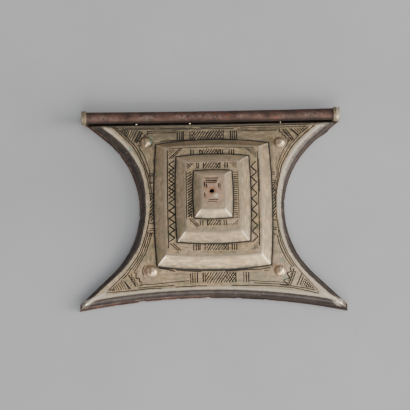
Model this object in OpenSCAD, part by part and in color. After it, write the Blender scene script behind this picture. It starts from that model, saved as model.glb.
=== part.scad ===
// Amulet pendant: a hollow box of silver and copper, lying on its back.
// +X runs along the hanging tube, +Y points at the tube, and +Z comes out of the face.
// The origin is at the bottom centre of the box that holds the whole object.
// All sizes are in millimetres.

/* [Outline] */
// Width across the tips of the lower horns
span_w = 90; // [86:0.5:94]
// Width across the waist
waist_w = 49.5; // [48:0.1:54]
// Radius of the round stretch of each flank
flank_r = 35.5; // [32:0.5:40]
// How far the flanks' narrowest place lies below the waist line
flank_low = 0.4; // [0:0.05:0.6]
// Angle above the waist where the round stretch turns into a straight upper horn
upper_sweep = 48.5; // [46:0.5:51]
// Angle below the waist where it turns into a straight lower horn
lower_sweep = 44; // [42:0.5:48]
// From the waist line down to the middle of the lower edge
lower_reach = 33.4; // [31:0.05:36]
// Radius of the hollow lower edge
lower_edge_r = 212; // [180:1:300]
// From the waist line up to the upper face of the rim
upper_reach = 31.45; // [30:0.05:33]
// How far the back sheet's upper corners reach on past the rim, below the tube's ends
corner_reach = 0.9; // [0.5:0.05:0.9]
// How much lower the right flank sits than the left one, because the outline is cut by hand
flank_drop = 1.16; // [0:0.02:1.6]

/* [Back plate] */
// Thickness of the copper back sheet
sheet_t = 0.45; // [0.3:0.05:0.45]
// Height of the rim's upper face above the back of the sheet
rim_h = 1.7; // [1.2:0.1:2]
// Thickness of the rim
rim_t = 0.9; // [0.6:0.05:1.1]
// How far the sheet's edge stands out past the rim
lip_w = 0.3; // [0.1:0.05:0.4]

/* [Face cover] */
// Thickness of the silver sheet
cover_t = 0.6; // [0.3:0.05:0.7]
// Height of the engraved field above the back of the plate
field_z = 2.7; // [2.5:0.05:3.2]
// From the outline to the foot of the cover's rounded edge
cover_inset = 0.5; // [0.35:0.05:0.7]
// From the outline to the field, where the rounded edge ends
field_inset = 1.9; // [1.5:0.05:2]

/* [Stepped pyramid] */
// Width of the lowest step at its foot, from corner to corner
pyramid_w = 38.7; // [34:0.1:39.5]
// Length of the lowest step at its foot, from corner to corner
pyramid_l = 45.8; // [40:0.1:47]
// Height of the pyramid above the field
pyramid_h = 8.9; // [6:0.1:12]
// How far the pyramid stands to the right of the waist's middle
pyramid_x = 0.4; // [-0.6:0.1:0.6]
// Diameter of the hole in the apex
apex_hole_d = 1.6; // [1:0.1:2.5]

/* [Studs] */
// Diameter of a stud's dome
stud_d = 3.9; // [3:0.1:4.4]
// Height of a stud's dome
stud_h = 1.5; // [1:0.1:1.9]
// Diameter of a stud's shank
shank_d = 1.2; // [0.8:0.1:2]

/* [Hanging tube] */
// Outer diameter of the tube
tube_d = 4.1; // [3.8:0.05:4.1]
// Diameter of the way through for the cord
bore_d = 3.2; // [2:0.1:3.4]
// Length of the tube
tube_l = 88.8; // [87.6:0.1:89.2]
// Outer diameter of the collars
collar_d = 5.1; // [5.1:0.05:5.4]
// Width of the left collar
left_collar_w = 1.7; // [1:0.1:2]
// Width of the right collar
right_collar_w = 2.1; // [1:0.1:2.1]

/* [Hidden] */

copper = "#5a433c";
silver = "#b9ad97";

// Clearance between two pieces that meet
gap = 0.05;
// How far a cutting shape runs past the face that it cuts
past = 1;
// Facets of the exact round surfaces
$fn = 96;

// The outline is sampled in this many stretches along each side
LOWER_N = 14;
FLANK_N = 24;
UPPER_N = 14;

// Fall of the outline for each millimetre to the right
lean = flank_drop / span_w;
// A horn's blunt end moves in this much for each millimetre of inset, so that no ring crosses itself
HORN_SLIP = 1.4;
// The upper side has a steep edge, hidden under the tube
UPPER_EDGE_STEEPNESS = 0.4;

tube_r = tube_d / 2;
collar_r = collar_d / 2;
// The collars touch the surface that the plate lies on
tube_z = collar_r;
// From the rim's upper face to the tube's axis
TUBE_SETBACK = 2.55;
tube_y = upper_reach + TUBE_SETBACK;
// The ledge runs under the tube up to its axis, and ends short of both collars
LEDGE_CLEARANCE = 0.3;
ledge_half = tube_l / 2 - max(left_collar_w, right_collar_w) - LEDGE_CLEARANCE;

cover_z = rim_h + gap;
// Inner faces of the cover's edge
EDGE_WALL = 0.7;
FIELD_WALL = 0.35;
// A slope of about 45 degrees keeps the sheet's thickness if its inner side steps in by this share
SLOPE_STEP = 0.45;
SHOULDER_STEPS = 4;

// One row for each step of the pyramid, from the lowest one up.
// foot_w, foot_l, top_w, top_l: shares of pyramid_w and pyramid_l, from corner to corner.
// foot_bow, top_bow: how far the sides swell at the middle, [left and right, upper and lower], in mm.
// rise: share of pyramid_h. shift: how far the step's centre lies above the waist line, in mm.
FOOT_W = 0;
FOOT_L = 1;
FOOT_BOW = 2;
TOP_W = 3;
TOP_L = 4;
TOP_BOW = 5;
RISE = 6;
SHIFT = 7;
STEPS = [
    [1.000, 1.000, [0.85, 1.70], 0.832, 0.878, [0.40, 0.50], 0.39, 0.45],
    [0.641, 0.699, [0.50, 0.80], 0.475, 0.559, [0.20, 0.30], 0.32, 0.95],
    [0.338, 0.384, [0.30, 0.40], 0.204, 0.277, [0.10, 0.15], 0.29, 1.25]
];
// The hole in the apex, from the waist's middle
APEX_HOLE = [0.05, 1.4];

// Each stud's x and y from the waist's middle and its share of stud_d:
// upper left, upper right, lower left, lower right
STUDS = [[-22.5, 24.2, 1], [23.5, 23.55, 1], [-21, -24, 1.15], [22.35, -24.85, 1]];
// Place of the share in a row of STUDS
STUD_SHARE = 2;
// How far a shank reaches below the cover's sheet
SHANK_TAIL = 0.5;

// The waist line lies here, once the whole object's box is centred on the origin
waist_y = -(lower_y(0, span_w / 2) - lean * span_w / 2 + tube_y + collar_r) / 2;

// Half width at a horn's blunt end
function horn_x(inset) = span_w / 2 - HORN_SLIP * inset;

// Half width of the outline, moved in by inset, at a height y from the waist line
function flank_x(inset, y) =
    let (r = flank_r + inset,
         rise = abs(y + flank_low),
         sweep = y > -flank_low ? upper_sweep : lower_sweep,
         knee = r * sin(sweep))
    rise <= knee
        ? waist_w / 2 + flank_r - sqrt(r * r - rise * rise)
        : min(horn_x(inset), waist_w / 2 + flank_r - r * cos(sweep) + (rise - knee) * tan(sweep));

// Where the lower half of a flank reaches the horn's end
function horn_y(inset) =
    let (r = flank_r + inset, knee_x = waist_w / 2 + flank_r - r * cos(lower_sweep))
    -flank_low - r * sin(lower_sweep) - (horn_x(inset) - knee_x) / tan(lower_sweep);

// The hollow lower edge at x
function lower_y(inset, x) =
    -lower_reach - lower_edge_r + sqrt(pow(lower_edge_r + inset, 2) - x * x);

function leaned(p) = [p.x, p.y - lean * p.x];

// One flank from the lower horn to the upper corner; side is 1 for the right one and -1 for the left
function flank(inset, top_y, side) =
    let (low = horn_y(inset), high = top_y + side * lean * flank_x(inset, top_y))
    [for (i = [0 : FLANK_N])
        let (y = low + (high - low) * i / FLANK_N)
        leaned([side * flank_x(inset, y), y])];

function reversed(points) = [for (i = [len(points) - 1 : -1 : 0]) points[i]];

// The hourglass outline, moved in by inset, counter-clockwise from the lower left horn
function hourglass(inset, top_y) =
    let (half = horn_x(inset),
         right = flank(inset, top_y, 1),
         left = flank(inset, top_y, -1),
         corner_r = right[FLANK_N],
         corner_l = left[FLANK_N])
    concat(
        [for (i = [0 : LOWER_N])
            let (x = half * (2 * i / LOWER_N - 1))
            leaned([x, lower_y(inset, x)])],
        right,
        [for (i = [1 : UPPER_N - 1]) corner_r + (corner_l - corner_r) * i / UPPER_N],
        reversed(left)
    );

// A rectangle with swelling sides, with a point for each point of the hourglass
function bowed(half_w, half_l, bow, centre_y) =
    let (share = 2 / (FLANK_N + 1))
    [for (p = concat(
        [for (i = [0 : LOWER_N])
            let (t = 2 * i / LOWER_N - 1)
            [t * half_w, -half_l - bow.y * (1 - t * t)]],
        [for (i = [0 : FLANK_N])
            let (t = share * (i + 1) - 1)
            [half_w + bow.x * (1 - t * t), t * half_l]],
        [for (i = [1 : UPPER_N - 1])
            let (t = 1 - 2 * i / UPPER_N)
            [t * half_w, half_l + bow.y * (1 - t * t)]],
        [for (i = [0 : FLANK_N])
            let (t = 1 - share * i)
            [-half_w - bow.x * (1 - t * t), t * half_l]]
    )) p + [pyramid_x, centre_y]];

function lifted(points, z) = [for (p = points) [p.x, p.y, z]];

// Height of the foot of step i above the field
function foot_rise(i) = i == 0 ? 0 : foot_rise(i - 1) + STEPS[i - 1][RISE] * pyramid_h;

// The rings of all the steps, from the field up; wall is 0 for the outer side of the sheet
function step_rings(wall) =
    [for (i = [0 : len(STEPS) - 1], at_top = [0, 1])
        let (row = STEPS[i],
             w = pyramid_w * row[at_top ? TOP_W : FOOT_W] / 2 - SLOPE_STEP * wall,
             l = pyramid_l * row[at_top ? TOP_L : FOOT_L] / 2 - SLOPE_STEP * wall,
             z = field_z + foot_rise(i + at_top) - wall)
        lifted(bowed(w, l, row[at_top ? TOP_BOW : FOOT_BOW], row[SHIFT]), z)];

// The rings of the rounded edge, from its foot up to the field
function shoulder_rings() =
    [for (i = [0 : SHOULDER_STEPS])
        let (turn = 90 * i / SHOULDER_STEPS,
             inset = cover_inset + (field_inset - cover_inset) * (1 - cos(turn)))
        lifted(hourglass(inset, upper_reach - UPPER_EDGE_STEEPNESS * inset),
               cover_z + (field_z - cover_z) * sin(turn))];

// The inner side of the rounded edge
function inner_edge_rings() = [
    lifted(hourglass(cover_inset + EDGE_WALL, upper_reach - cover_inset - EDGE_WALL), cover_z),
    lifted(hourglass(field_inset + FIELD_WALL, upper_reach - field_inset - FIELD_WALL), field_z - cover_t)
];

// Two triangles for each stretch between ring a and the ring b above or inside it
function band(a, b, n) =
    [for (i = [0 : n - 1], t = [0, 1])
        let (j = (i + 1) % n)
        t == 0 ? [a * n + i, b * n + i, a * n + j] : [a * n + j, b * n + i, b * n + j]];

function flipped(faces) = [for (f = faces) reversed(f)];

// A closed sheet: the outer rings from the edge to the top, and the inner rings in the same order
module sheet_shell(outer, inner) {
    n = len(outer[0]);
    last = len(outer) - 1;
    first_inner = len(outer);
    last_inner = first_inner + len(inner) - 1;
    polyhedron(
        points = [for (ring = concat(outer, inner), p = ring) p],
        faces = concat(
            [for (r = [0 : last - 1], f = band(r, r + 1, n)) f],
            [[for (i = [n - 1 : -1 : 0]) last * n + i]],
            [for (r = [first_inner : last_inner - 1], f = flipped(band(r, r + 1, n))) f],
            [[for (i = [0 : n - 1]) last_inner * n + i]],
            flipped(band(0, first_inner, n))
        )
    );
}

// Moves a shape from the waist's middle to its place in the whole object
module on_plate() {
    translate([0, waist_y, 0]) children();
}

module back_plate() {
    color(copper) on_plate() {
        linear_extrude(sheet_t) union() {
            polygon(hourglass(0, upper_reach + corner_reach));
            translate([-ledge_half, upper_reach - past])
                square([2 * ledge_half, tube_y - upper_reach + past]);
        }
        linear_extrude(rim_h) difference() {
            polygon(hourglass(lip_w, upper_reach - UPPER_EDGE_STEEPNESS * lip_w));
            polygon(hourglass(lip_w + rim_t, upper_reach - lip_w - rim_t));
        }
    }
}

module face_cover() {
    drill_h = cover_t + 2 * past;
    color(silver) on_plate() difference() {
        sheet_shell(
            concat(shoulder_rings(), step_rings(0)),
            concat(inner_edge_rings(), step_rings(cover_t)));
        translate([APEX_HOLE.x, APEX_HOLE.y, field_z + pyramid_h - cover_t - past])
            cylinder(d = apex_hole_d, h = drill_h);
        for (place = STUDS)
            translate([place.x, place.y, field_z - cover_t - past])
                cylinder(d = shank_d + 2 * gap, h = drill_h);
    }
}

// A tube along X
module pipe(outer_d, inner_d, length) {
    rotate([0, 90, 0]) difference() {
        cylinder(d = outer_d, h = length);
        translate([0, 0, -past]) cylinder(d = inner_d, h = length + 2 * past);
    }
}

module hanging_tube() {
    color(copper) on_plate() translate([-tube_l / 2, tube_y, tube_z]) pipe(tube_d, bore_d, tube_l);
}

module left_collar() {
    color(silver) on_plate() translate([-tube_l / 2, tube_y, tube_z])
        pipe(collar_d, tube_d + 2 * gap, left_collar_w);
}

module right_collar() {
    color(silver) on_plate() translate([tube_l / 2 - right_collar_w, tube_y, tube_z])
        pipe(collar_d, tube_d + 2 * gap, right_collar_w);
}

// A domed head that lies on the field, with a shank through the sheet
module stud(place) {
    d = stud_d * place[STUD_SHARE];
    ball_r = (stud_h * stud_h + d * d / 4) / (2 * stud_h);
    tail = gap + cover_t + SHANK_TAIL;
    color(silver) on_plate() translate([place.x, place.y, field_z + gap]) {
        intersection() {
            translate([0, 0, stud_h - ball_r]) sphere(r = ball_r);
            cylinder(d = 2 * d, h = 2 * stud_h);
        }
        translate([0, 0, -tail]) cylinder(d = shank_d, h = tail + stud_h / 2);
    }
}

module stud_upper_left() {
    stud(STUDS[0]);
}

module stud_upper_right() {
    stud(STUDS[1]);
}

module stud_lower_left() {
    stud(STUDS[2]);
}

module stud_lower_right() {
    stud(STUDS[3]);
}

back_plate();
face_cover();
hanging_tube();
left_collar();
right_collar();
stud_upper_left();
stud_upper_right();
stud_lower_left();
stud_lower_right();
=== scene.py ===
"""Amulet pendant: the looks of an engraved silver amulet with a copper back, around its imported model."""

import math
import random
from collections import namedtuple

import bmesh
import bpy
import numpy as np
from bpy.props import FloatProperty, FloatVectorProperty, PointerProperty
from mathutils import Matrix, Vector, kdtree, noise
from mathutils.geometry import delaunay_2d_cdt


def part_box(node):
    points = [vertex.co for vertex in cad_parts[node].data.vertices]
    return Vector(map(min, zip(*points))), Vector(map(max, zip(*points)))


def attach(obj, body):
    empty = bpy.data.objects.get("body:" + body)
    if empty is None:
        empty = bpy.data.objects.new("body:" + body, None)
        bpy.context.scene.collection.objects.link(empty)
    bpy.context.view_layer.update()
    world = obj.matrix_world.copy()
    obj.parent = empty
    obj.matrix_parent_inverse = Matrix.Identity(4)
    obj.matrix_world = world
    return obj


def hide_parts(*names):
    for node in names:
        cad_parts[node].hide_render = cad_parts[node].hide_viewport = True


bl_info = {
    "name": "Amulet Pendant",
    "version": (1, 0, 0),
    "blender": (4, 5, 0),
    "location": "View3D > Sidebar > Amulet",
    "description": "Builds an engraved silver amulet with a copper back, and a plain stage for it",
    "category": "Add Mesh",
}

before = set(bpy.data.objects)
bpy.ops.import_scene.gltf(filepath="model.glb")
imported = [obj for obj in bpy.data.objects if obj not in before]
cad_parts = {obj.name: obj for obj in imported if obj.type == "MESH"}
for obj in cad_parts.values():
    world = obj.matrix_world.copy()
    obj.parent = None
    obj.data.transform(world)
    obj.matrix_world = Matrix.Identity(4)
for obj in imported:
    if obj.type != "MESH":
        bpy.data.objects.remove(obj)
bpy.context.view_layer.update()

# Plans are drawn in millimetres, from the middle of the waist, and meshes are made in metres
MM = 0.001


def box_mm(node):
    """A CAD node's lowest and highest corners in millimetres."""
    low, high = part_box(node)
    return low / MM, high / MM


def table(name, columns, rows):
    """Rows of a chart as tuples with named columns."""
    return [namedtuple(name, columns)(*row) for row in rows]


def bell(value, width):
    """1 at 0, falling to about a third at the width to either side."""
    return np.exp(-(value / width) ** 2)


def ramped(value, width):
    """The value's share of a width, kept between 0 and 1."""
    return np.clip(value / width, 0, 1)


back_low, back_high = box_mm("back_plate")
tube_low, tube_high = box_mm("hanging_tube")
collar_low, collar_high = box_mm("left_collar")

# Outline of the whole amulet, as the model has it
SPAN_W = back_high.x - back_low.x
WAIST_W = 49.5
FLANK_R = 35.5
FLANK_LOW = 0.4
UPPER_SWEEP = math.radians(48.5)
LOWER_SWEEP = math.radians(44)
LOWER_REACH = 33.4
LOWER_EDGE_R = 212.0
UPPER_REACH = 31.45
CORNER_REACH = 0.9
FLANK_DROP = 1.16
LEAN = FLANK_DROP / SPAN_W
HORN_SLIP = 1.4
UPPER_EDGE_STEEPNESS = 0.4

# Hanging tube and its collars
TUBE_R = (tube_high.z - tube_low.z) / 2
TUBE_Y = (tube_high.y + tube_low.y) / 2
TUBE_Z = (tube_high.z + tube_low.z) / 2
TUBE_HALF = (tube_high.x - tube_low.x) / 2
BORE_R = 1.6
COLLAR_R = (collar_high.z - collar_low.z) / 2
# Room between two parts where one sits in or on the other
FIT_GAP = 0.05
TUBE_SETBACK = 2.55
WAIST_Y = TUBE_Y - UPPER_REACH - TUBE_SETBACK

# Copper back
SHEET_T = 0.45
RIM_H = 1.7
RIM_T = 0.9
LIP_W = 0.3
LEDGE_HALF = 42.0

# Silver face
COVER_T = 0.6
COVER_Z = 1.75
FIELD_Z = 2.7
COVER_INSET = 0.5
FIELD_INSET = 1.9
EDGE_WALL = 0.7
FIELD_WALL = 0.35
SLOPE_STEP = 0.45

# Stepped pyramid
PYRAMID_W = 38.7
PYRAMID_L = 45.8
PYRAMID_H = 8.9
PYRAMID_X = 0.4
APEX_HOLE = (0.05, 1.4)
APEX_HOLE_R = 0.8

# foot and top: a step's width and length there, as shares of the pyramid's, with the bows of its sides in mm;
# rise: its share of the pyramid's height; shift: its middle in y; and last, how much painted shade dulls its
# right slope, where the key light falls
STEPS = table("Step", "foot foot_bow top top_bow rise shift tarnish", [
    ((1.000, 1.000), (0.85, 1.70), (0.832, 0.878), (0.40, 0.50), 0.39, 0.45, 0.62),
    ((0.641, 0.699), (0.50, 0.80), (0.475, 0.559), (0.20, 0.30), 0.32, 0.95, 0.78),
    ((0.338, 0.384), (0.30, 0.40), (0.204, 0.277), (0.10, 0.15), 0.29, 1.25, 0.74),
])
# The sides' bows go on changing between these shares of the way up a slope
BOW_SHARES = (-0.6, 1.4)
BOW_ROUNDS = 4
TOP_ROUNDING = 0.75
FOOT_ROUNDING = 0.3
FOOT_LINE_W = 0.46
FOOT_LINE_DEPTH = 0.16

# Studs, from the waist's middle. share: of STUD_R; squash: the dome's width as a share along the direction
# turn, in degrees; crease: depth of the dent that parts the dome's left side from the rest
STUDS = table("Stud", "node x y share squash turn crease", [
    ("stud_upper_left", -22.5, 24.2, 1.0, 0.92, 20, 0.30),
    ("stud_upper_right", 23.5, 23.55, 1.0, 0.93, 100, 0.15),
    ("stud_lower_left", -21.0, -24.0, 1.15, 0.86, 80, 0.55),
    ("stud_lower_right", 22.5, -24.55, 1.0, 0.92, 140, 0.20),
])
CREASE_PLACE = -0.45
CREASE_W = 0.42
STUD_R = 1.95
STUD_H = 1.5
SHANK_R = 0.6
SHANK_HOLE_R = 0.65
SHANK_TAIL = 1.15


# Outline

def horn_x(inset):
    return SPAN_W / 2 - HORN_SLIP * inset


def flank_x(inset, y):
    """Half width of the outline, moved in by inset, at heights y from the waist line."""
    r = FLANK_R + inset
    above = np.asarray(y, float) + FLANK_LOW
    rise = np.abs(above)
    sweep = np.where(above > 0, UPPER_SWEEP, LOWER_SWEEP)
    knee = r * np.sin(sweep)
    middle = WAIST_W / 2 + FLANK_R
    arc = middle - np.sqrt(np.maximum(r * r - rise * rise, 0))
    horn = middle - r * np.cos(sweep) + (rise - knee) * np.tan(sweep)
    return np.where(rise <= knee, arc, np.minimum(horn, horn_x(inset)))


def horn_y(inset):
    """Where the lower half of a flank reaches the horn's end."""
    r = FLANK_R + inset
    knee_x = WAIST_W / 2 + FLANK_R - r * math.cos(LOWER_SWEEP)
    return -FLANK_LOW - r * math.sin(LOWER_SWEEP) - (horn_x(inset) - knee_x) / math.tan(LOWER_SWEEP)


def lower_y(inset, x):
    return -LOWER_REACH - LOWER_EDGE_R + np.sqrt((LOWER_EDGE_R + inset) ** 2 - np.asarray(x, float) ** 2)


def leaned(x, y):
    """Points in plan, after the whole outline's slight drop to the right."""
    return np.stack([x, y - LEAN * x], axis=-1)


def flank(inset, top_y, side, count):
    """One flank from the lower horn to the upper corner."""
    high = top_y + side * LEAN * flank_x(inset, top_y)
    y = np.linspace(horn_y(inset), high, count + 1)
    return leaned(side * flank_x(inset, y), y)


def hourglass(inset, top_y, counts=(110, 96, 100)):
    """The outline moved in by inset, counter-clockwise from the lower left horn."""
    lower_n, flank_n, upper_n = counts
    x = np.linspace(-horn_x(inset), horn_x(inset), lower_n + 1)
    right = flank(inset, top_y, 1, flank_n)
    left = flank(inset, top_y, -1, flank_n)
    upper = np.linspace(right[-1], left[-1], upper_n + 1)[1:-1]
    return np.concatenate([leaned(x, lower_y(inset, x)), right, upper, left[::-1]])


def insets(x, y):
    """How far in from the flanks and from the lower edge points lie."""
    upright = y + LEAN * x
    rise = np.abs(upright + FLANK_LOW)
    sweep = np.where(upright + FLANK_LOW > 0, UPPER_SWEEP, LOWER_SWEEP)
    out = WAIST_W / 2 + FLANK_R - np.abs(x)
    arc = np.hypot(out, rise)
    horn = out * np.cos(sweep) + rise * np.sin(sweep)
    from_flank = np.where(rise <= arc * np.sin(sweep), arc, horn) - FLANK_R
    from_lower = np.hypot(upright + LOWER_REACH + LOWER_EDGE_R, x) - LOWER_EDGE_R
    return from_flank, from_lower


def inside_outline(x, y, inset):
    """Whether points lie inside the outline moved in by inset."""
    upright = y + LEAN * x
    between = np.abs(x) < flank_x(inset, upright)
    top = UPPER_REACH - UPPER_EDGE_STEEPNESS * inset
    return between & (upright > lower_y(inset, x)) & (y < top)


# Stepped pyramid

def step_ring(step, share, wall=0.0):
    """Half width, half length and the two bows of a step's ring, at a share of the way up its slope."""
    half = np.array([PYRAMID_W, PYRAMID_L]) / 2
    foot = np.concatenate([half * step.foot - SLOPE_STEP * wall, step.foot_bow])
    top = np.concatenate([half * step.top - SLOPE_STEP * wall, step.top_bow])
    share = np.asarray(share, float)[..., None]
    return np.moveaxis(foot + (top - foot) * share, -1, 0)


def slope_run(step):
    """Plan width of a step's slope."""
    return PYRAMID_W / 2 * (step.foot[0] - step.top[0])


def slope_shares(step, x, y, wall=0.0):
    """How far points are up a step's left and right slopes, and up its upper and lower ones, as shares."""
    across = np.abs(x - PYRAMID_X)
    along = np.abs(y - step.shift)
    foot = step_ring(step, 0.0, wall)
    top = step_ring(step, 1.0, wall)
    share_x = (foot[0] - across) / (foot[0] - top[0])
    share_y = (foot[1] - along) / (foot[1] - top[1])
    for _ in range(BOW_ROUNDS):
        near = np.clip(np.stack([share_x, share_y]), *BOW_SHARES)
        half_w, half_l, bow_x, bow_y = step_ring(step, near, wall)
        swell_x = bow_x[0] * (1 - np.minimum(1, along / half_l[0]) ** 2)
        swell_y = bow_y[1] * (1 - np.minimum(1, across / half_w[1]) ** 2)
        share_x = (foot[0] + swell_x - across) / (foot[0] - top[0])
        share_y = (foot[1] + swell_y - along) / (foot[1] - top[1])
    return share_x, share_y


def smooth_min(a, b, width):
    """The lesser of a and b, rounded over a width."""
    h = np.clip(0.5 + 0.5 * (b - a) / width, 0, 1)
    return b + (a - b) * h - width * h * (1 - h)


def rounded_share(share, step):
    """A slope's share from 0 to 1, with a hollow foot and a rounded top."""
    top = TOP_ROUNDING / slope_run(step)
    foot = FOOT_ROUNDING / slope_run(step)
    return -smooth_min(-smooth_min(share, 1.0, top), np.zeros_like(share), foot)


def face_height(x, y):
    """Height of the face's outer side at points on the field or the pyramid."""
    z = np.full(len(x), FIELD_Z)
    for step in STEPS:
        share = np.minimum(*slope_shares(step, x, y))
        z += step.rise * PYRAMID_H * rounded_share(share, step)
    return z


def lining_height(x, y):
    """Height of the face's inner side."""
    z = np.full(len(x), FIELD_Z - COVER_T)
    for step in STEPS:
        share = np.minimum(*slope_shares(step, x, y, COVER_T))
        z += step.rise * PYRAMID_H * np.clip(share, 0, 1)
    return z


def bowed(step, share, spacing, wall=0.0):
    """The four sides of a step's ring as lists of points, counter-clockwise from its lower left corner."""
    half_w, half_l, bow_x, bow_y = step_ring(step, share, wall)
    across = np.linspace(-1, 1, 2 * max(2, round(half_w / spacing)) + 1)[:-1]
    along = np.linspace(-1, 1, 2 * max(2, round(half_l / spacing)) + 1)[:-1]
    lower = np.stack([across * half_w, -half_l - bow_y * (1 - across ** 2)], axis=-1)
    right = np.stack([half_w + bow_x * (1 - along ** 2), along * half_l], axis=-1)
    middle = np.array([PYRAMID_X, step.shift])
    return [lower + middle, right + middle, -lower + middle, -right + middle]


def on_circle(centre, r, turn):
    return np.stack([centre[0] + r * np.cos(turn), centre[1] + r * np.sin(turn)], axis=-1)


def circle(centre, r, count):
    return on_circle(centre, r, np.arange(count) / count * 2 * math.pi)


# Engraving

# A cut's points run along it in plan; width and depth taper to nothing at its two ends
Cut = namedtuple("Cut", "points width depth")
FINE = 0.31
BORDER_LINE = 0.36
LINE = 0.42
BAR = 0.46
BOLD = 0.52
DEPTH_SHARE = 0.30
CUT_TAPER = 0.22
LONGEST_TAPER = 0.4
CUT_STEP = 1.1
SHORTEST_HATCH = 0.5
TEETH_OVERLAP = 0.6
BORDER_POINTS = 20
HAND_SEED = 11
WOBBLE = 0.045
WEIGHT_SPREAD = 0.16


def cut(points, width=LINE):
    return Cut(np.array(points, float), width, width * DEPTH_SHARE)


def flank_cut(side, *places, width=LINE):
    """A cut along a flank through places, each a height and an inset, from the lowest up."""
    heights, inward = zip(*places)
    y = np.linspace(heights[0], heights[-1], BORDER_POINTS)
    return cut(leaned(side * flank_x(np.interp(y, heights, inward), y), y), width)


def lower_cut(*places, width=LINE):
    """A cut along the lower edge through places, each an x and an inset, from the left."""
    across, inward = zip(*places)
    x = np.linspace(across[0], across[-1], BORDER_POINTS)
    return cut(leaned(x, lower_y(np.interp(x, across, inward), x)), width)


def bars(places, low, high, width=LINE):
    """Upright cuts side by side."""
    return [cut([(x, low), (x, high)], width) for x in places]


def rungs(places, left, right, width=LINE):
    """Level cuts one above the other."""
    return [cut([(left, y), (right, y)], width) for y in places]


def hatched(corners, angle, pitch, width=FINE):
    """Parallel cuts across a convex patch, whose corners run counter-clockwise."""
    corners = [Vector(c) for c in corners]
    along = Vector((math.cos(math.radians(angle)), math.sin(math.radians(angle))))
    across = Vector((-along.y, along.x))
    levels = [c.dot(across) for c in corners]
    cuts = []
    for i in range(int((max(levels) - min(levels)) / pitch) + 1):
        base = across * (min(levels) + pitch * (i + 0.5))
        low, high = -1e6, 1e6
        for a, b in zip(corners, corners[1:] + corners[:1]):
            inward = Vector((a.y - b.y, b.x - a.x))
            rate = along.dot(inward)
            if abs(rate) < 1e-6:
                continue
            meeting = (a - base).dot(inward) / rate
            if rate > 0:
                low = max(low, meeting)
            else:
                high = min(high, meeting)
        if high - low > SHORTEST_HATCH:
            cuts.append(cut([base + along * low, base + along * high], width))
    return cuts


def patch(left, right, low, high):
    return [(left, low), (right, low), (right, high), (left, high)]


def zigzag(points, width=BOLD):
    """One cut for each stroke of a zigzag, long enough for them to meet."""
    cuts = []
    for a, b in zip(points, points[1:]):
        a, b = Vector(a), Vector(b)
        past = (b - a).normalized() * TEETH_OVERLAP * CUT_TAPER
        cuts.append(cut([a - past, b + past], width))
    return cuts


def ticks(start, end, pitch, length):
    """A row of very short cuts across the way from start to end."""
    start, end = Vector(start), Vector(end)
    way = end - start
    across = Vector((-way.y, way.x)).normalized() * length / 2
    count = int(way.length / pitch)
    places = [start + way * (i + 0.5) / count for i in range(count)]
    return [cut([p - across, p + across], FINE) for p in places]


# Borders along the flanks: side, then places as height and inset
FLANK_BORDERS = [
    (-1, (1.5, 3.92), (8.0, 4.12), (12.3, 4.29), (14.9, 4.65), (17.3, 4.61), (22.8, 5.06),
     (26.9, 4.75), (30.6, 4.65)),
    (-1, (4.6, 4.44), (12.3, 5.04), (17.3, 5.26), (21.4, 5.76), (26.9, 5.5), (30.2, 5.23)),
    (-1, (8.0, 5.02), (11.5, 5.54), (14.9, 6.05), (18.9, 6.51), (22.2, 6.51)),
    (1, (-1.0, 3.04), (10.8, 3.19), (14.8, 3.9), (18.8, 4.01), (22.8, 4.11), (26.9, 3.85), (30.5, 3.78)),
    (1, (2.0, 3.47), (10.8, 3.64), (14.8, 4.55), (18.8, 4.76), (22.8, 4.91), (26.9, 4.9), (30.2, 4.82)),
    (1, (5.0, 4.1), (11.5, 4.14), (14.8, 5.15), (18.8, 5.66), (22.8, 5.96), (24.8, 6.26)),
    (-1, (-31.6, 3.89), (-27.5, 3.74), (-21.1, 3.74), (-17.1, 3.78), (-13.0, 3.53), (-1.5, 3.64)),
    (-1, (-27.2, 4.51), (-21.1, 4.39), (-17.1, 4.42), (-13.0, 4.13), (-9.5, 4.04)),
    (-1, (-24.0, 5.1), (-17.1, 5.03), (-13.0, 4.9), (-9.8, 4.75)),
    (-1, (-24.6, 5.9), (-21.0, 5.7), (-17.0, 5.7), (-13.0, 5.55), (-9.9, 5.4)),
    (1, (-32.8, 4.78), (-30.0, 4.08), (-25.2, 3.69), (-21.0, 3.64), (-17.0, 3.51), (-13.0, 3.18),
     (-1.0, 3.04)),
    (1, (-23.0, 4.3), (-17.0, 4.12), (-13.0, 3.73), (-9.0, 3.44)),
    (1, (-23.2, 4.95), (-19.3, 4.95), (-15.4, 4.75), (-12.4, 4.45), (-10.9, 4.3)),
]

# Borders along the lower edge: places as x and inset
LOWER_BORDERS = [
    ((-36.3, 4.25), (-29.2, 3.75), (-21.0, 3.75), (-17.5, 3.45)),
    ((-25.5, 4.4), (-20.0, 4.3), (-13.0, 4.15)),
    ((-23.9, 5.5), (-20.0, 5.2), (-13.0, 5.45), (-7.8, 5.65)),
    ((-13.0, 3.55), (-2.0, 3.65)),
    ((6.0, 3.75), (16.0, 4.2), (19.0, 4.4), (28.0, 4.35), (35.4, 3.55)),
    ((22.0, 5.05), (28.0, 4.9), (31.5, 4.75), (34.4, 4.45)),
    ((13.5, 5.), (19.0, 5.1), (25.0, 5.2)),
    ((12.2, 5.85), (17.0, 5.8), (25.0, 6.05)),
]

# Borders along the upper edge: the two ends of each cut
UPPER_BORDERS = [
    ((-33.6, 30.0), (-6.0, 29.5)),
    ((-30.6, 29.4), (8.0, 29.0)),
    ((-21.9, 28.6), (-11.8, 28.5)),
    ((-21.9, 27.9), (-11.8, 27.9)),
    ((-4.0, 29.7), (34.6, 30.3)),
    ((8.9, 28.7), (24.0, 28.7)),
    ((10.0, 29.2), (33.0, 29.4)),
    ((9.2, 28.1), (22.8, 28.2)),
]

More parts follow.
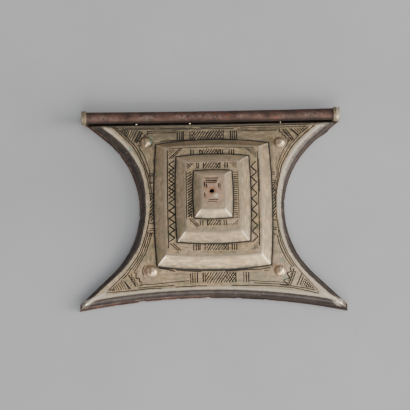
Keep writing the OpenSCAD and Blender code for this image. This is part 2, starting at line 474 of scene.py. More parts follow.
# A corner's motif. patch: a hatched field and its angle; crossed: the part that is hatched again, and its
# angle; lines: single cuts; room: the band filled with a lattice of two angles; teeth: a zigzag beside it
CORNERS = table("Corner", "patch angle crossed cross_angle lines room lattice teeth", [
    ([(-32.3, 29.4), (-27.0, 24.9), (-25.1, 29.1)], 68,
     [(-32.3, 29.4), (-28.9, 26.6), (-28.0, 29.3)], -52,
     [((-25.1, 29.1), (-27.2, 24.9)), ((-24.4, 28.9), (-26.3, 24.3)), ((-23.6, 28.4), (-25.7, 24.0))],
     [(-24.4, 28.8), (-26.3, 24.3), (-24.7, 24.6), (-22.8, 28.4)], (20, -38),
     [(-21.7, 28.6), (-21.7, 27.3), (-22.8, 27.2), (-23.1, 26.2), (-23.9, 26.0), (-23.9, 25.1),
      (-24.7, 24.9), (-24.2, 24.1), (-24.3, 23.0), (-25.2, 23.0)]),
    ([(27.3, 28.8), (30.0, 25.9), (33.8, 29.0)], 132,
     [(30.4, 28.9), (31.6, 27.3), (33.8, 29.0)], 40,
     [((27.3, 28.8), (30.0, 25.9)), ((25.6, 28.8), (28.6, 24.4)), ((24.7, 28.8), (27.9, 24.0))],
     [(24.0, 28.7), (27.3, 23.6), (28.5, 24.5), (25.6, 28.7)], (10, -45),
     [(23.7, 28.7), (23.6, 27.6), (24.5, 27.3), (24.5, 26.3), (25.6, 26.0), (25.7, 25.1),
      (26.6, 24.8), (26.4, 23.7)]),
    ([(-35.9, -31.5), (-28.1, -30.6), (-30.1, -27.2), (-30.9, -27.0)], 118,
     [(-35.9, -31.5), (-33.6, -31.2), (-33.4, -29.6)], 60,
     [((-27.9, -30.6), (-30.1, -27.5)), ((-28.8, -25.2), (-27.4, -27.4), (-26.0, -29.8))],
     [(-28.7, -25.3), (-26.0, -29.7), (-25.0, -29.6), (-27.5, -24.6)], (15, -80),
     [(-26.9, -24.5), (-26.0, -24.7), (-26.1, -25.8), (-26.0, -26.7), (-24.9, -26.6), (-25.0, -27.8),
      (-24.1, -27.9), (-24.0, -29.2), (-24.9, -29.3)]),
    ([(28.0, -30.2), (34.2, -31.8), (29.9, -25.9)], 68,
     [(30.0, -30.7), (34.2, -31.8), (31.0, -27.4)], -50,
     [((28.0, -30.2), (29.9, -25.7)), ((29.1, -30.1), (30.4, -26.9)),
      ((27.9, -24.7), (26.7, -28.0), (25.8, -30.1)), ((27.3, -23.6), (26.0, -28.0), (25.1, -30.0))],
     [(24.6, -29.4), (25.7, -30.1), (27.7, -24.8), (26.6, -23.9)], (12, -42),
     [(26.1, -23.5), (26.2, -25.0), (24.9, -25.5), (25.7, -27.5), (23.6, -28.2), (25.2, -30.0)]),
])
LATTICE_PITCH = 0.70
LATTICE_LINE = 0.75 * FINE
HATCH_PITCH = 0.72

# Bands of bars, blanks and one hatched patch, on the field and then on the tiers. low and high: a band's
# bounds; bars: places along it; hatch: the patch's two ends; crossed: its parts that are hatched both ways
BAND_ANGLE = 57
CROSS_PITCH_SHARE = 1.15
BANDS = table("Band", "low high bars hatch pitch crossed", [
    (24.9, 28.5, (-11.5, -10.7, -9.9, -9.4, -7.1, 4.3, 6.7, 7.4, 8.1, 8.8),
     (-6.8, 4.0), 0.78, ((-6.8, -5.3), (1.4, 4.0))),
    (-28.7, -24.7, (-7.65, -6.9, -6.1, -5.35, -3.4, -2.7, 7.7, 10.3, 11.1, 11.9),
     (-2.6, 7.6), 0.78, ((4.2, 7.6),)),
    (17.3, 19.7, (-6.9, -6.1, -3.9, 3.2, 3.9, 6.2, 6.9, 7.7),
     (-3.7, 2.9), 0.76, ((-3.7, -2.4), (1.4, 2.9))),
    (-18.4, -15.9, (-6.4, -5.6, -4.9, -4.3, -2.6, 5.2, 6.6, 7.4, 8.1),
     (-2.3, 4.9), 0.76, ((3.4, 4.9),)),
    (11.0, 13.4, (-4.9, -4.3, -2.7, 2.9, 4.6, 5.4), (-2.5, 2.7), 0.74, ((1.2, 2.7),)),
    (-10.4, -8.2, (-4.0, -3.2, -1.7, 2.6, 4.0, 4.7), (-1.5, 2.4), 0.74, ()),
])


def band_cuts(band):
    middle = hatched(patch(*band.hatch, band.low, band.high), BAND_ANGLE, band.pitch, LINE)
    for left, right in band.crossed:
        part = patch(left, right, band.low, band.high)
        middle += hatched(part, -BAND_ANGLE, CROSS_PITCH_SHARE * band.pitch)
    return bars(band.bars, band.low, band.high, BAR) + middle


def corner_cuts(corner):
    cuts = hatched(corner.patch, corner.angle, HATCH_PITCH)
    cuts += hatched(corner.crossed, corner.cross_angle, HATCH_PITCH)
    cuts += [cut(points) for points in corner.lines]
    for angle in corner.lattice:
        cuts += hatched(corner.room, angle, LATTICE_PITCH, LATTICE_LINE)
    return cuts + zigzag(corner.teeth, LINE)


def waist_cuts():
    """The narrow panels between the flanks and the pyramid's foot."""
    left = hatched(patch(-21.1, -19.7, -5.6, 4.4), BAND_ANGLE, 0.70, LINE)
    left += rungs((12.4, 11.6, 8.9, 4.8, -6.2, -8.3, -9.0, -9.9), -21.5, -19.7)
    right = hatched(patch(20.5, 21.7, -5.0, 7.8), BAND_ANGLE, 0.70, LINE)
    right += rungs((12.2, 11.4, 9.1, 8.3, -5.7, -8.5, -9.3, -11.0), 20.6, 21.9)
    return left + right


def lower_tier_cuts():
    """Zigzags, corners and lines on the flat of the lowest step."""
    left_outer, left_inner, left_period = -14.6, -12.7, 1.45
    left = [(left_outer if i % 2 else left_inner, 15.6 - left_period * i) for i in range(22)]
    twin = [(left_inner if i % 2 else left_outer, 12.7 - left_period * i) for i in range(9)]
    right_outer, right_inner, right_period = 15.35, 13.5, 2.02
    right = [(right_inner if i % 2 else right_outer, 14.9 - right_period * i) for i in range(16)]
    cuts = zigzag(left) + zigzag(twin, FINE) + zigzag(right)
    cuts += [
        cut([(-15.0, 19.6), (-15.05, 2), (-14.9, -17.4)]),
        cut([(15.75, 19.0), (15.9, 0), (15.8, -17.0)]),
        cut([(16.2, 16.0), (16.25, 3.0)], FINE),
        cut([(-14.2, 20.1), (0.4, 20.5), (14.8, 19.9)], FINE),
    ]
    cuts += ticks((-14.4, -18.7), (15.0, -18.9), 0.62, 0.45)
    for shift in (0.0, 0.8):
        cuts.append(cut([(-14.6 + shift, 16.2), (-10.6 + shift, 20.2)]))
        cuts.append(cut([(-14.4 + shift, -15.3), (-11.4 + shift, -18.3)]))
    cuts += hatched([(-14.7, 16.9), (-11.5, 20.0), (-14.7, 20.0)], -35, 0.6)
    cuts += hatched([(11.4, 19.8), (15.4, 16.0), (15.5, 19.6)], -42, 0.62)
    cuts += hatched([(12.2, -18.4), (15.4, -18.4), (15.5, -15.3)], 40, 0.62)
    return cuts


def middle_tier_cuts():
    """Hatching on the flat of the middle step."""
    cuts = hatched(patch(-8.3, -6.6, -7.2, 9.9), 38, 0.78, BOLD)
    cuts += hatched(patch(-8.3, -6.6, -7.2, -1.5), -40, 0.95)
    cuts += rungs([9.4 - 0.80 * i for i in range(22)], 7.3, 8.8, LINE)
    cuts += [cut([(-8.6, 10.4), (-8.65, -7.6)], FINE), cut([(9.0, 10.2), (9.05, -7.8)], FINE)]
    cuts += hatched([(-8.4, 10.6), (-5.6, 13.2), (-8.4, 13.2)], 45, 0.6)
    cuts += hatched([(-8.4, 10.6), (-5.6, 13.2), (-8.4, 13.2)], -45, 0.75)
    cuts += hatched([(6.0, 13.2), (8.8, 10.4), (8.8, 13.2)], -42, 0.6)
    cuts += [cut([(-7.9, -7.5), (-4.9, -10.8)]), cut([(-7.2, -7.5), (-4.3, -10.6)])]
    cuts += hatched([(6.0, -10.6), (8.8, -10.6), (8.8, -7.8)], 42, 0.62)
    cuts += ticks((-8.2, 13.8), (8.6, 13.8), 0.6, 0.4)
    return cuts


def apex_cuts():
    """Lines that frame the hole in the apex."""
    return [
        cut([(-2.2, 4.6), (2.0, 4.55)], BOLD),
        cut([(-2.2, 5.35), (2.0, 5.3)], BOLD),
        cut([(-2.3, 6.1), (2.4, 6.1)]),
        cut([(-2.5, 4.9), (-2.45, 2.9)], BOLD),
        cut([(-2.45, 1.0), (-2.4, -1.2)]),
        cut([(-1.8, 4.2), (-1.8, 2.4)]),
        cut([(2.4, 4.4), (2.35, 2.4)], BOLD),
        cut([(2.95, 4.2), (2.9, 1.9)], FINE),
        cut([(-1.3, -1.8), (2.1, -1.85)]),
        cut([(-1.5, -2.55), (2.0, -2.6)], FINE),
    ]


# Grooves beside studs, where the sheet was pressed down: node, radius, first and last turn in degrees, width
STUD_GROOVES = [("stud_upper_left", 2.35, -50, 95, LINE), ("stud_lower_left", 2.9, 130, 215, FINE)]


def stud_cuts():
    places = {s.node: (s.x, s.y) for s in STUDS}
    return [cut(on_circle(places[node], r, np.radians(np.linspace(start, end, 12))), width)
            for node, r, start, end, width in STUD_GROOVES]


def foot_cuts():
    """Lines beside the lowest step's foot, where the graver missed it."""
    return [
        cut([(-18.6, -22.9), (-15.7, -23.4), (-12.7, -24.3)]),
        cut([(-12.6, -23.8), (-8.0, -24.3), (-3.6, -24.6)]),
        cut([(4.0, -24.5), (8.1, -24.3), (12.2, -24.1), (16.0, -23.95), (19.4, -23.4)]),
        cut([(17.0, -24.4), (19.2, -24.5)], FINE),
        cut([(-17.4, 24.6), (-6.0, 25.2)], FINE),
    ]


def engraving():
    """Every cut in the face, each with a slight wobble of the hand."""
    cuts = [flank_cut(side, *places, width=BORDER_LINE) for side, *places in FLANK_BORDERS]
    cuts += [lower_cut(*places, width=BORDER_LINE) for places in LOWER_BORDERS]
    cuts += [cut([a, b], BORDER_LINE) for a, b in UPPER_BORDERS]
    for corner in CORNERS:
        cuts += corner_cuts(corner)
    for band in BANDS:
        cuts += band_cuts(band)
    cuts += waist_cuts() + lower_tier_cuts() + middle_tier_cuts() + apex_cuts() + stud_cuts() + foot_cuts()
    hand = random.Random(HAND_SEED)
    wobbly = []
    for c in cuts:
        shift = np.array([[hand.gauss(0, WOBBLE), hand.gauss(0, WOBBLE)] for _ in c.points])
        heavier = 1 + WEIGHT_SPREAD * hand.uniform(-1, 1)
        wobbly.append(Cut(c.points + shift, c.width * heavier, c.depth * heavier))
    return wobbly


def resampled(points, step):
    """Points along a cut at most a step apart, with two where its tapers end, and how far along each is."""
    lengths = np.hypot(*(np.diff(points, axis=0).T))
    marks = np.concatenate([[0], np.cumsum(lengths)])
    taper = min(CUT_TAPER, LONGEST_TAPER * marks[-1])
    count = max(1, math.ceil((marks[-1] - 2 * taper) / step))
    along = np.concatenate([[0], np.linspace(taper, marks[-1] - taper, count + 1), [marks[-1]]])
    return np.stack([np.interp(along, marks, points[:, i]) for i in (0, 1)], axis=-1), along


def cut_depths(xy, cuts):
    """How deep each point lies in the cuts, in mm and as a share of the cut's own depth."""
    deep = np.zeros(len(xy))
    shade = np.zeros(len(xy))
    for c in cuts:
        reach = c.width
        low, high = c.points.min(0) - reach, c.points.max(0) + reach
        near = np.nonzero(((xy >= low) & (xy <= high)).all(axis=1))[0]
        if not len(near):
            continue
        starts = c.points[:-1]
        ways = np.diff(c.points, axis=0)
        lengths = np.maximum(np.hypot(*ways.T), 1e-9)
        marks = np.concatenate([[0], np.cumsum(lengths)])
        best = np.full(len(near), 1e9)
        along = np.zeros(len(near))
        for start, way, length, mark in zip(starts, ways, lengths, marks):
            t = np.clip(((xy[near] - start) @ way) / length ** 2, 0, 1)
            gap = np.hypot(*(xy[near] - start - t[:, None] * way).T)
            closer = gap < best
            best = np.where(closer, gap, best)
            along = np.where(closer, mark + t * length, along)
        ends = ramped(np.minimum(along, marks[-1] - along), CUT_TAPER)
        share = np.clip(1 - best / np.maximum(c.width / 2 * ends, 1e-6), 0, 1)
        deep[near] = np.maximum(deep[near], c.depth * ends * share)
        shade[near] = np.maximum(shade[near], share * ends)
    return deep, shade


# Plans and meshes

SAMPLE_STEP = 0.3


class Plan:
    """Points and lines in plan that become the corners and edges of a triangle mesh."""

    def __init__(self):
        self.points = []
        self.heights = []
        self.edges = []

    def add(self, points, z=None):
        """Adds points, with a set height or None, and returns their numbers."""
        first = len(self.points)
        self.points += [(float(x), float(y)) for x, y in points]
        self.heights += [z] * len(points)
        return list(range(first, len(self.points)))

    def chain(self, numbers, closed=False):
        self.edges += list(zip(numbers, numbers[1:] + numbers[:1] if closed else numbers[1:]))

    def ring(self, points, z=None):
        numbers = self.add(points, z)
        self.chain(numbers, closed=True)
        return numbers

    def groove(self, c):
        """A cut's bottom line and its two edges, which meet at both of its ends."""
        points, along = resampled(c.points, CUT_STEP)
        way = np.gradient(points, axis=0)
        side = np.stack([-way[:, 1], way[:, 0]], axis=-1) / np.maximum(np.hypot(*way.T), 1e-9)[:, None]
        half = c.width / 2 * ramped(np.minimum(along, along[-1] - along), CUT_TAPER)
        middle = self.add(points)
        self.chain(middle)
        for turn in (1, -1):
            edge = self.add(points[1:-1] + turn * side[1:-1] * half[1:-1, None])
            self.chain([middle[0]] + edge + [middle[-1]])

    def clear_of(self, candidates, clearance):
        """The candidates that lie clear of every line."""
        samples = []
        for a, b in self.edges:
            p, q = np.array(self.points[a]), np.array(self.points[b])
            count = max(1, math.ceil(np.hypot(*(q - p)) / SAMPLE_STEP))
            samples += [p + (q - p) * i / count for i in range(count)]
        tree = kdtree.KDTree(len(samples))
        for i, p in enumerate(samples):
            tree.insert((p[0], p[1], 0), i)
        tree.balance()
        return [p for p in candidates if tree.find((p[0], p[1], 0))[2] > clearance]

    def triangles(self, edge, holes=()):
        """Fills the edge ring but not the holes, which are rings of numbers given by add.

        Returns points, faces, set heights and a table from the numbers given by add to those of the points.
        """
        points, _, faces, sources, _, _ = delaunay_2d_cdt(
            [Vector(p) for p in self.points], self.edges, [], 0, 1e-4, True)
        places = {}
        heights = np.full(len(points), np.nan)
        for number, given in enumerate(sources):
            for source in given:
                places[source] = number
                if self.heights[source] is not None:
                    heights[number] = self.heights[source]
        xy = np.array([(p.x, p.y) for p in points])
        faces = np.array(faces)
        middles = xy[faces].mean(axis=1)
        kept = in_ring(middles, xy[[places[i] for i in edge]])
        for hole in holes:
            kept &= ~in_ring(middles, xy[[places[i] for i in hole]])
        return xy, [tuple(f) for f in faces[kept].tolist()], heights, places


def in_ring(points, ring):
    """Whether points lie in a closed ring."""
    inside = np.zeros(len(points), bool)
    x, y = points.T
    for (ax, ay), (bx, by) in zip(ring, np.roll(ring, -1, axis=0)):
        if ay == by:
            continue
        crossing = (y < ay) != (y < by)
        inside ^= crossing & (x < ax + (bx - ax) * (y - ay) / (by - ay))
    return inside


def noise_at(points, size, seed=0.0):
    """Smooth noise from about -1 to 1 at points in mm, with bumps about size wide."""
    shift = Vector((seed * 7.31, seed * 3.17, seed * 5.93))
    return np.array([noise.noise(Vector(p) / size + shift) for p in points])


def bridge(lower, upper):
    """Quads between two closed rings with as many points each."""
    after = list(range(1, len(lower))) + [0]
    return [(lower[i], lower[j], upper[j], upper[i]) for i, j in enumerate(after)]


def skin(rows, count, closed=False):
    """Quads between rings of count points each; closed joins the last ring to the first one too."""
    faces = []
    for row in range(rows if closed else rows - 1):
        after = (row + 1) % rows
        faces += bridge([row * count + i for i in range(count)], [after * count + i for i in range(count)])
    return faces


def add_piece(name, points, faces, material, node=None, layers=None, crease=32):
    """Makes a closed mesh from points in mm from the waist's middle, checks it and fits it to the frame."""
    mesh = bpy.data.meshes.new(name)
    placed = (np.array(points, float) + [0, WAIST_Y, 0]) * MM
    mesh.from_pydata(placed.tolist(), [], [list(f) for f in faces])
    for label, values in (layers or {}).items():
        layer = mesh.attributes.new(label, "FLOAT", "POINT")
        layer.data.foreach_set("value", np.asarray(values, np.float32))
    work = bmesh.new()
    work.from_mesh(mesh)
    loose = [v for v in work.verts if not v.link_faces]
    bmesh.ops.delete(work, geom=loose, context="VERTS")
    bmesh.ops.recalc_face_normals(work, faces=work.faces)
    open_edges = sum(1 for e in work.edges if len(e.link_faces) != 2)
    for face in work.faces:
        face.smooth = True
    work.to_mesh(mesh)
    work.free()
    if open_edges:
        raise RuntimeError(f"{name} isn't closed: {open_edges} edges don't join two faces")
    mesh.set_sharp_from_angle(angle=math.radians(crease))
    mesh.materials.append(material)
    piece = add_object(name, mesh)
    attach(piece, "root")
    if node:
        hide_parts(node)


# Materials

METRES_TO_MM = 1 / MM


def rgba(colour):
    return colour if isinstance(colour, bpy.types.NodeSocket) else (*colour[:3], 1.0)


class Paint:
    """A shader tree that is being built; a value is a number, a colour or another node's output.

    place is where each point lies, in millimetres, and colour is what the coats so far have come to.
    """

    def __init__(self, tree, place, colour=None):
        self.tree = tree
        self.place = place
        self.colour = colour

    def add(self, kind, inputs=None, **settings):
        made = self.tree.nodes.new(kind)
        for key, value in settings.items():
            setattr(made, key, value)
        for key, value in (inputs or {}).items():
            if isinstance(value, bpy.types.NodeSocket):
                self.tree.links.new(value, made.inputs[key])
            else:
                made.inputs[key].default_value = value
        return made

    def math(self, operation, *values):
        return self.add("ShaderNodeMath", dict(enumerate(values)), operation=operation).outputs[0]

    def times(self, a, b):
        return self.math("MULTIPLY", a, b)

    def vector(self, operation, a, b):
        return self.add("ShaderNodeVectorMath", {0: a, 1: b}, operation=operation).outputs[0]

    def at(self, place):
        return self.place if place is None else place

    def stretched(self, scale, place=None):
        return self.vector("MULTIPLY", self.at(place), scale)

    def shifted(self, offset, place=None):
        return self.vector("ADD", self.at(place), (offset, -offset, 0.3 * offset))

    def noise(self, scale, detail=3.0, roughness=0.55, place=None):
        values = {"Vector": self.at(place), "Scale": scale, "Detail": detail, "Roughness": roughness}
        return self.add("ShaderNodeTexNoise", values).outputs["Fac"]

    def ramp(self, value, low, high):
        """A smooth step from 0 at low to 1 at high."""
        values = {"Value": value, "From Min": low, "From Max": high}
        return self.add("ShaderNodeMapRange", values, interpolation_type="SMOOTHSTEP").outputs["Result"]

    def layer(self, name):
        return self.add("ShaderNodeAttribute", attribute_name=name).outputs["Fac"]

    def shared(self, name, maker, inputs):
        """The outputs of a group that several materials use, built once."""
        group = bpy.data.node_groups.get(name) or maker(name)
        return self.add("ShaderNodeGroup", inputs, node_tree=group).outputs

    def blotch(self, size, low=0.45, high=0.65, place=None):
        values = {"Place": self.at(place), "Size": size, "Low": low, "High": high}
        return self.shared("Blotches", blotches_group, values)["Mask"]

    def wear(self, grain):
        return self.shared("Rubbed Metal", wear_group, {"Place": self.place, "Grain": grain})

    def mix(self, factor, a, b):
        return self.add("ShaderNodeMix", {0: factor, 6: rgba(a), 7: rgba(b)}, data_type="RGBA").outputs[2]

    def coat(self, colour, mask, strength=None):
        """Lays a colour over the earlier ones, as far as the mask and its strength go."""
        if strength is not None:
            mask = self.times(mask, strength)
        self.colour = self.mix(mask, self.colour, colour)

    def finish(self, rough, metal, bump, depth, height):
        """Wires the shader: roughness, metal or None, and a bump's strength, depth in mm and height."""
        relief = self.add("ShaderNodeBump", {"Strength": bump, "Distance": depth * MM, "Height": height})
        ends = {"Base Color": self.colour, "Roughness": rough, "Metallic": metal, "Normal": relief.outputs[0]}
        for label, value in ends.items():
            if value is not None:
                self.tree.links.new(value, self.tree.nodes["Principled BSDF"].inputs[label])


def new_group(name, inputs, outputs):
    """An empty shader group with named sockets, and its two end nodes."""
    group = bpy.data.node_groups.new(name, "ShaderNodeTree")
    for label, kind, value in inputs:
        socket = group.interface.new_socket(label, in_out="INPUT", socket_type=kind)
        if value is not None:
            socket.default_value = value
    for label in outputs:
        group.interface.new_socket(label, in_out="OUTPUT", socket_type="NodeSocketFloat")
    return group, group.nodes.new("NodeGroupInput").outputs, group.nodes.new("NodeGroupOutput").inputs


def blotches_group(name):
    """Soft uneven patches, for tarnish and tints."""
    group, given, result = new_group(
        name,
        [("Place", "NodeSocketVector", None), ("Size", "NodeSocketFloat", 5.0),
         ("Low", "NodeSocketFloat", 0.45), ("High", "NodeSocketFloat", 0.65)],
        ["Mask"])
    paint = Paint(group, given["Place"])
    cloud = paint.noise(paint.math("DIVIDE", 1.0, given["Size"]), 5.0, 0.6)
    group.links.new(paint.ramp(cloud, given["Low"], given["High"]), result["Mask"])
    return group


def wear_group(name):
    """Fine scratches and pits, as a height and as masks."""
    group, given, result = new_group(
        name,
        [("Place", "NodeSocketVector", None), ("Grain", "NodeSocketFloat", 1.0)],
        ["Height", "Scratches", "Pits"])
    paint = Paint(group, given["Place"])
    bent = paint.vector("ADD", paint.place, paint.noise(0.35, 2.0))
    level = paint.noise(1.0, 2.0, 0.7, paint.stretched((0.35, 5.0, 1.0), bent))
    steep = paint.noise(1.0, 2.0, 0.7, paint.stretched((5.5, 0.4, 1.0), bent))
    scratches = paint.math("MAXIMUM", paint.ramp(level, 0.62, 0.72), paint.ramp(steep, 0.64, 0.74))
    pits = paint.ramp(paint.noise(2.6, 1.0), 0.70, 0.78)
    grain = paint.times(paint.noise(3.2, 4.0, 0.65), given["Grain"])
    height = paint.math("SUBTRACT", grain, paint.times(pits, 0.8))
    height = paint.math("SUBTRACT", height, paint.times(scratches, 0.25))
    for label, value in (("Height", height), ("Scratches", scratches), ("Pits", pits)):
        group.links.new(value, result[label])
    return group


def start_material(name, colour):
    material = bpy.data.materials.new(name)
    material.use_nodes = True
    where = material.node_tree.nodes.new("ShaderNodeTexCoord").outputs["Object"]
    paint = Paint(material.node_tree, where, colour)
    paint.place = paint.stretched((METRES_TO_MM,) * 3)
    return material, paint


def silver_material(name, finish, engraved):
    """Aged silver: warm and olive tints, dark cuts, rubbed ridges, pink where copper shows, verdigris, and
    painted highlights, light and shade.
    """
    material, paint = start_material(name, finish.silver)
    wear = paint.wear(1.0)
    wide = paint.stretched((0.6, 1.0, 1.0))
    paint.coat(finish.olive, paint.blotch(5.0, 0.44, 0.62, wide), 0.85)
    paint.coat(finish.straw, paint.blotch(3.6, 0.48, 0.66, paint.shifted(31.0, wide)), 0.65)
    if engraved:
        level = paint.noise(1.0, 4.0, 0.68, paint.stretched((0.30, 1.3, 1.0)))
        steep = paint.noise(1.0, 4.0, 0.68, paint.stretched((1.3, 0.28, 1.0)))
        values = {0: paint.layer("lengthwise"), 2: level, 3: steep}
        streaks = paint.add("ShaderNodeMix", values, data_type="FLOAT").outputs[0]
    else:
        streaks = paint.noise(0.9, 3.0, 0.6)
    paint.coat(finish.dull, paint.ramp(streaks, 0.46, 0.64), 0.55)
    paint.coat(finish.dull, paint.blotch(1.3, 0.45, 0.62, paint.shifted(53.0)), 0.42)
    # Tarnish, and painted shade on the slopes that the lights fall on
    paint.coat(finish.tarnish, paint.layer("tarnish"), paint.ramp(streaks, 0.15, 0.60))
    paint.coat(finish.rosy, paint.layer("rosy"), paint.ramp(streaks, 0.2, 0.6))
    paint.coat(finish.orange, paint.layer("orange"), paint.blotch(1.1, 0.25, 0.55))
    paint.coat(finish.brown, paint.layer("brown"), paint.blotch(1.6, 0.35, 0.6))
    # Wear and painted light: rubbed and highlighted ridges and hips, painted light on the shaded slopes and
    # the plain border, the highlighted lump and stud tops
    worn = paint.layer("worn")
    paint.coat(finish.bright, worn, 0.75)
    paint.coat(finish.dull, wear["Scratches"], 0.25)

    # Dark scale on the rounded edge: partly the metal's own scale, partly painted shade that darkens the left
    # and lower edge and dims the edge's highlight on the right
    scale = paint.mix(paint.blotch(2.6, 0.4, 0.6), finish.edge, finish.copper_dark)
    flecks = paint.ramp(paint.noise(1.4, 2.0, 0.7), 0.64, 0.72)
    scale = paint.mix(paint.times(flecks, 0.6), scale, finish.dull)
    ragged = paint.math("MULTIPLY_ADD", paint.noise(1.3, 4.0, 0.7), 0.16, paint.layer("edge"))
    scale_and_shade = paint.ramp(ragged, 0.56, 0.61)
    paint.coat(scale, scale_and_shade)

    # Painted highlight: bright lines along the rounded edge and the horns' ridges, and the right collar's
    # line
    shine = paint.times(paint.layer("shine"), paint.ramp(streaks, 0.25, 0.50))
    paint.coat(finish.shine, shine)
    # Dirt and painted shade: the foot of each step, painted shade over the slopes' lower parts and the tube's
    # painted shadow
    uneven = paint.math("MULTIPLY_ADD", paint.blotch(1.4, 0.3, 0.7, paint.shifted(11.0)), 0.6, 0.4)
    grime = paint.ramp(paint.times(paint.layer("grime"), uneven), 0.05, 0.75)
    paint.coat(finish.dirt_and_painted_shade, grime, 0.85)
    groove = paint.ramp(paint.layer("groove"), 0.0, 0.26)
    paint.coat(finish.cut, paint.math("MAXIMUM", groove, paint.times(wear["Pits"], 0.55)))
    green = paint.ramp(paint.times(paint.layer("green"), paint.blotch(0.9, 0.25, 0.55)), 0.1, 0.6)
    paint.coat(finish.verdigris, green)

    covered = paint.math("MAXIMUM", paint.math("MAXIMUM", groove, grime), green)
    dielectric = paint.math("MAXIMUM", covered, paint.times(scale_and_shade, 0.85))
    metal = paint.math("SUBTRACT", finish.metal, paint.times(dielectric, 0.8))
    rough = paint.math("MULTIPLY_ADD", streaks, 0.22, finish.roughness)
    rough = paint.math("SUBTRACT", rough, paint.times(worn, 0.14))
    rough = paint.math("SUBTRACT", rough, paint.times(shine, 0.12))
    rough = paint.math("ADD", rough, paint.times(covered, 0.25))
    rough = paint.math("ADD", rough, paint.times(scale_and_shade, 0.12))
    height = paint.math("MULTIPLY_ADD", streaks, 1.2, wear["Height"])
    paint.finish(rough, metal, 0.35, 0.06, height)
    return material


def copper_material(name, finish, base, stretch):
    """Oxidised copper: brown scale over red metal, black in its hollows and where shade is painted, and
    bright along cut edges from rubbing and a painted highlight.
    """
    material, paint = start_material(name, base)
    wear = paint.wear(1.4)
    paint.coat(finish.copper_dark, paint.blotch(5.0, 0.40, 0.62), 0.65)
    mottle = paint.noise(1.0, 4.0, 0.7, paint.stretched(stretch))
    paint.coat(finish.copper_grey, paint.ramp(mottle, 0.5, 0.75), 0.4)
    paint.coat(finish.copper_red, paint.blotch(2.4, 0.56, 0.72, paint.shifted(17.0)), 0.7)
    # Rubbing and a painted highlight along the cut edges
    worn = paint.times(paint.layer("worn"), paint.blotch(0.8, 0.35, 0.65))
    paint.coat(finish.copper_bright, worn)
    # Dark in hollows, with painted shade on the back's right side and on the tube's underside and its side
    # towards the face
    grime = paint.math("MAXIMUM", paint.layer("grime"), paint.times(wear["Pits"], 0.7))
    paint.coat(finish.cut, grime, 0.85)
    paint.coat(finish.copper_grey, wear["Scratches"], 0.3)
    metal = paint.math("SUBTRACT", 0.75, paint.times(grime, 0.6))
    rough = paint.math("SUBTRACT", 0.62, paint.times(worn, 0.28))
    rough = paint.math("ADD", rough, paint.times(grime, 0.2))
    height = paint.math("MULTIPLY_ADD", mottle, 1.4, wear["Height"])
    paint.finish(rough, metal, 0.6, 0.10, height)
    return material


def floor_material(stage):
    """Matt pale grey board with a very fine tooth."""
    material, paint = start_material("pale_board", stage.floor_colour)
    cloud = paint.blotch(60.0, 0.3, 0.7)
    paint.coat([0.93 * c for c in stage.floor_colour], cloud)
    rough = paint.math("MULTIPLY_ADD", cloud, 0.06, 0.86)
    paint.finish(rough, None, 0.15, 0.1, paint.noise(1.5, 3.0, 0.6))
    return material


def shared_material(name, maker, *values):
    """A material that several pieces wear, built once."""
    return bpy.data.materials.get(name) or maker(name, *values)


def rubbed_silver(finish):
    return shared_material("rubbed_silver", silver_material, finish, False)


# Silver face

# Stains as charted: layer, middle, half width and half height in mm, and strength
STAINS = table("Stain", "layer x y half_w half_h strength", [
    ("green", -27.7, 21.8, 0.55, 0.9, 0.85),
    ("green", 24.2, -27.4, 0.8, 0.6, 0.7),
    ("green", 23.0, -20.6, 1.0, 1.2, 0.5),
    ("green", -20.6, 25.0, 0.8, 1.8, 0.55),
    ("green", 0.0, 29.7, 12.0, 0.35, 0.28),
    ("brown", 20.2, -22.6, 2.2, 1.0, 0.8),
    ("brown", 16.2, -8.0, 0.5, 8.0, 0.55),
    ("brown", 8.0, -21.5, 7.0, 1.4, 0.50),
    ("brown", -6.0, -20.8, 9.0, 1.3, 0.30),
    ("brown", 2.0, -14.0, 9.0, 1.0, 0.25),
    ("brown", 20.8, 24.6, 1.6, 1.4, 0.5),
    ("brown", 10.0, 30.2, 9.0, 0.5, 0.5),
    ("brown", -18.0, -4.0, 0.6, 9.0, 0.3),
    ("rosy", 0.4, 1.6, 4.2, 6.2, 1.0),
    ("orange", 0.05, 1.4, 1.5, 1.7, 0.9),
    ("brown", -2.2, 2.0, 0.7, 3.2, 0.9),
    ("brown", 0.0, 5.2, 2.6, 0.7, 0.7),
    ("brown", 3.0, 3.6, 0.8, 1.5, 0.6),
    ("rosy", -15.9, 0.0, 0.6, 17.0, 0.55),
    ("rosy", 0.5, 13.6, 8.5, 0.7, 0.45),
    ("rosy", -8.9, 2.0, 0.6, 10.0, 0.45),
    ("rosy", 3.0, -13.5, 8.0, 1.2, 0.35),
    ("rosy", -22.6, -26.6, 1.6, 1.4, 0.5),
    ("rosy", 17.5, 8.0, 0.7, 12.0, 0.35),
])
# The outer edge of the face, which rises from its foot over a low flange and bends onto the field: inset
# and z, which is None where the field's own height holds
SHOULDER = [(COVER_INSET, COVER_Z), (0.56, 1.83), (0.75, 1.88), (0.98, 1.93), (1.16, 2.03), (1.30, 2.18),
            (1.43, 2.36), (1.58, 2.51), (1.78, 2.635), (2.02, FIELD_Z), (2.35, None), (2.75, None)]
# Rings on each slope: shares of the way up it, and how far below its foot and above its top in mm
SLOPE_RINGS = [0.14, 0.28, 0.45, 0.62, 0.76, 0.88, 0.97]
BELOW_SLOPE = 0.5
ABOVE_SLOPE = (0.14, 0.38)
RING_SPACING = 0.8
FIELD_SPACING = 0.62
FIELD_CLEARANCE = 0.24
FIELD_JITTER = 0.3
HOLE_RINGS = (0.12, 0.35, 0.75)
STUD_HOLE_COUNT = 24
APEX_HOLE_COUNT = 36
UNEVEN_WIDE = 0.085
UNEVEN_FINE = 0.034
UNEVEN_SINK = 0.03

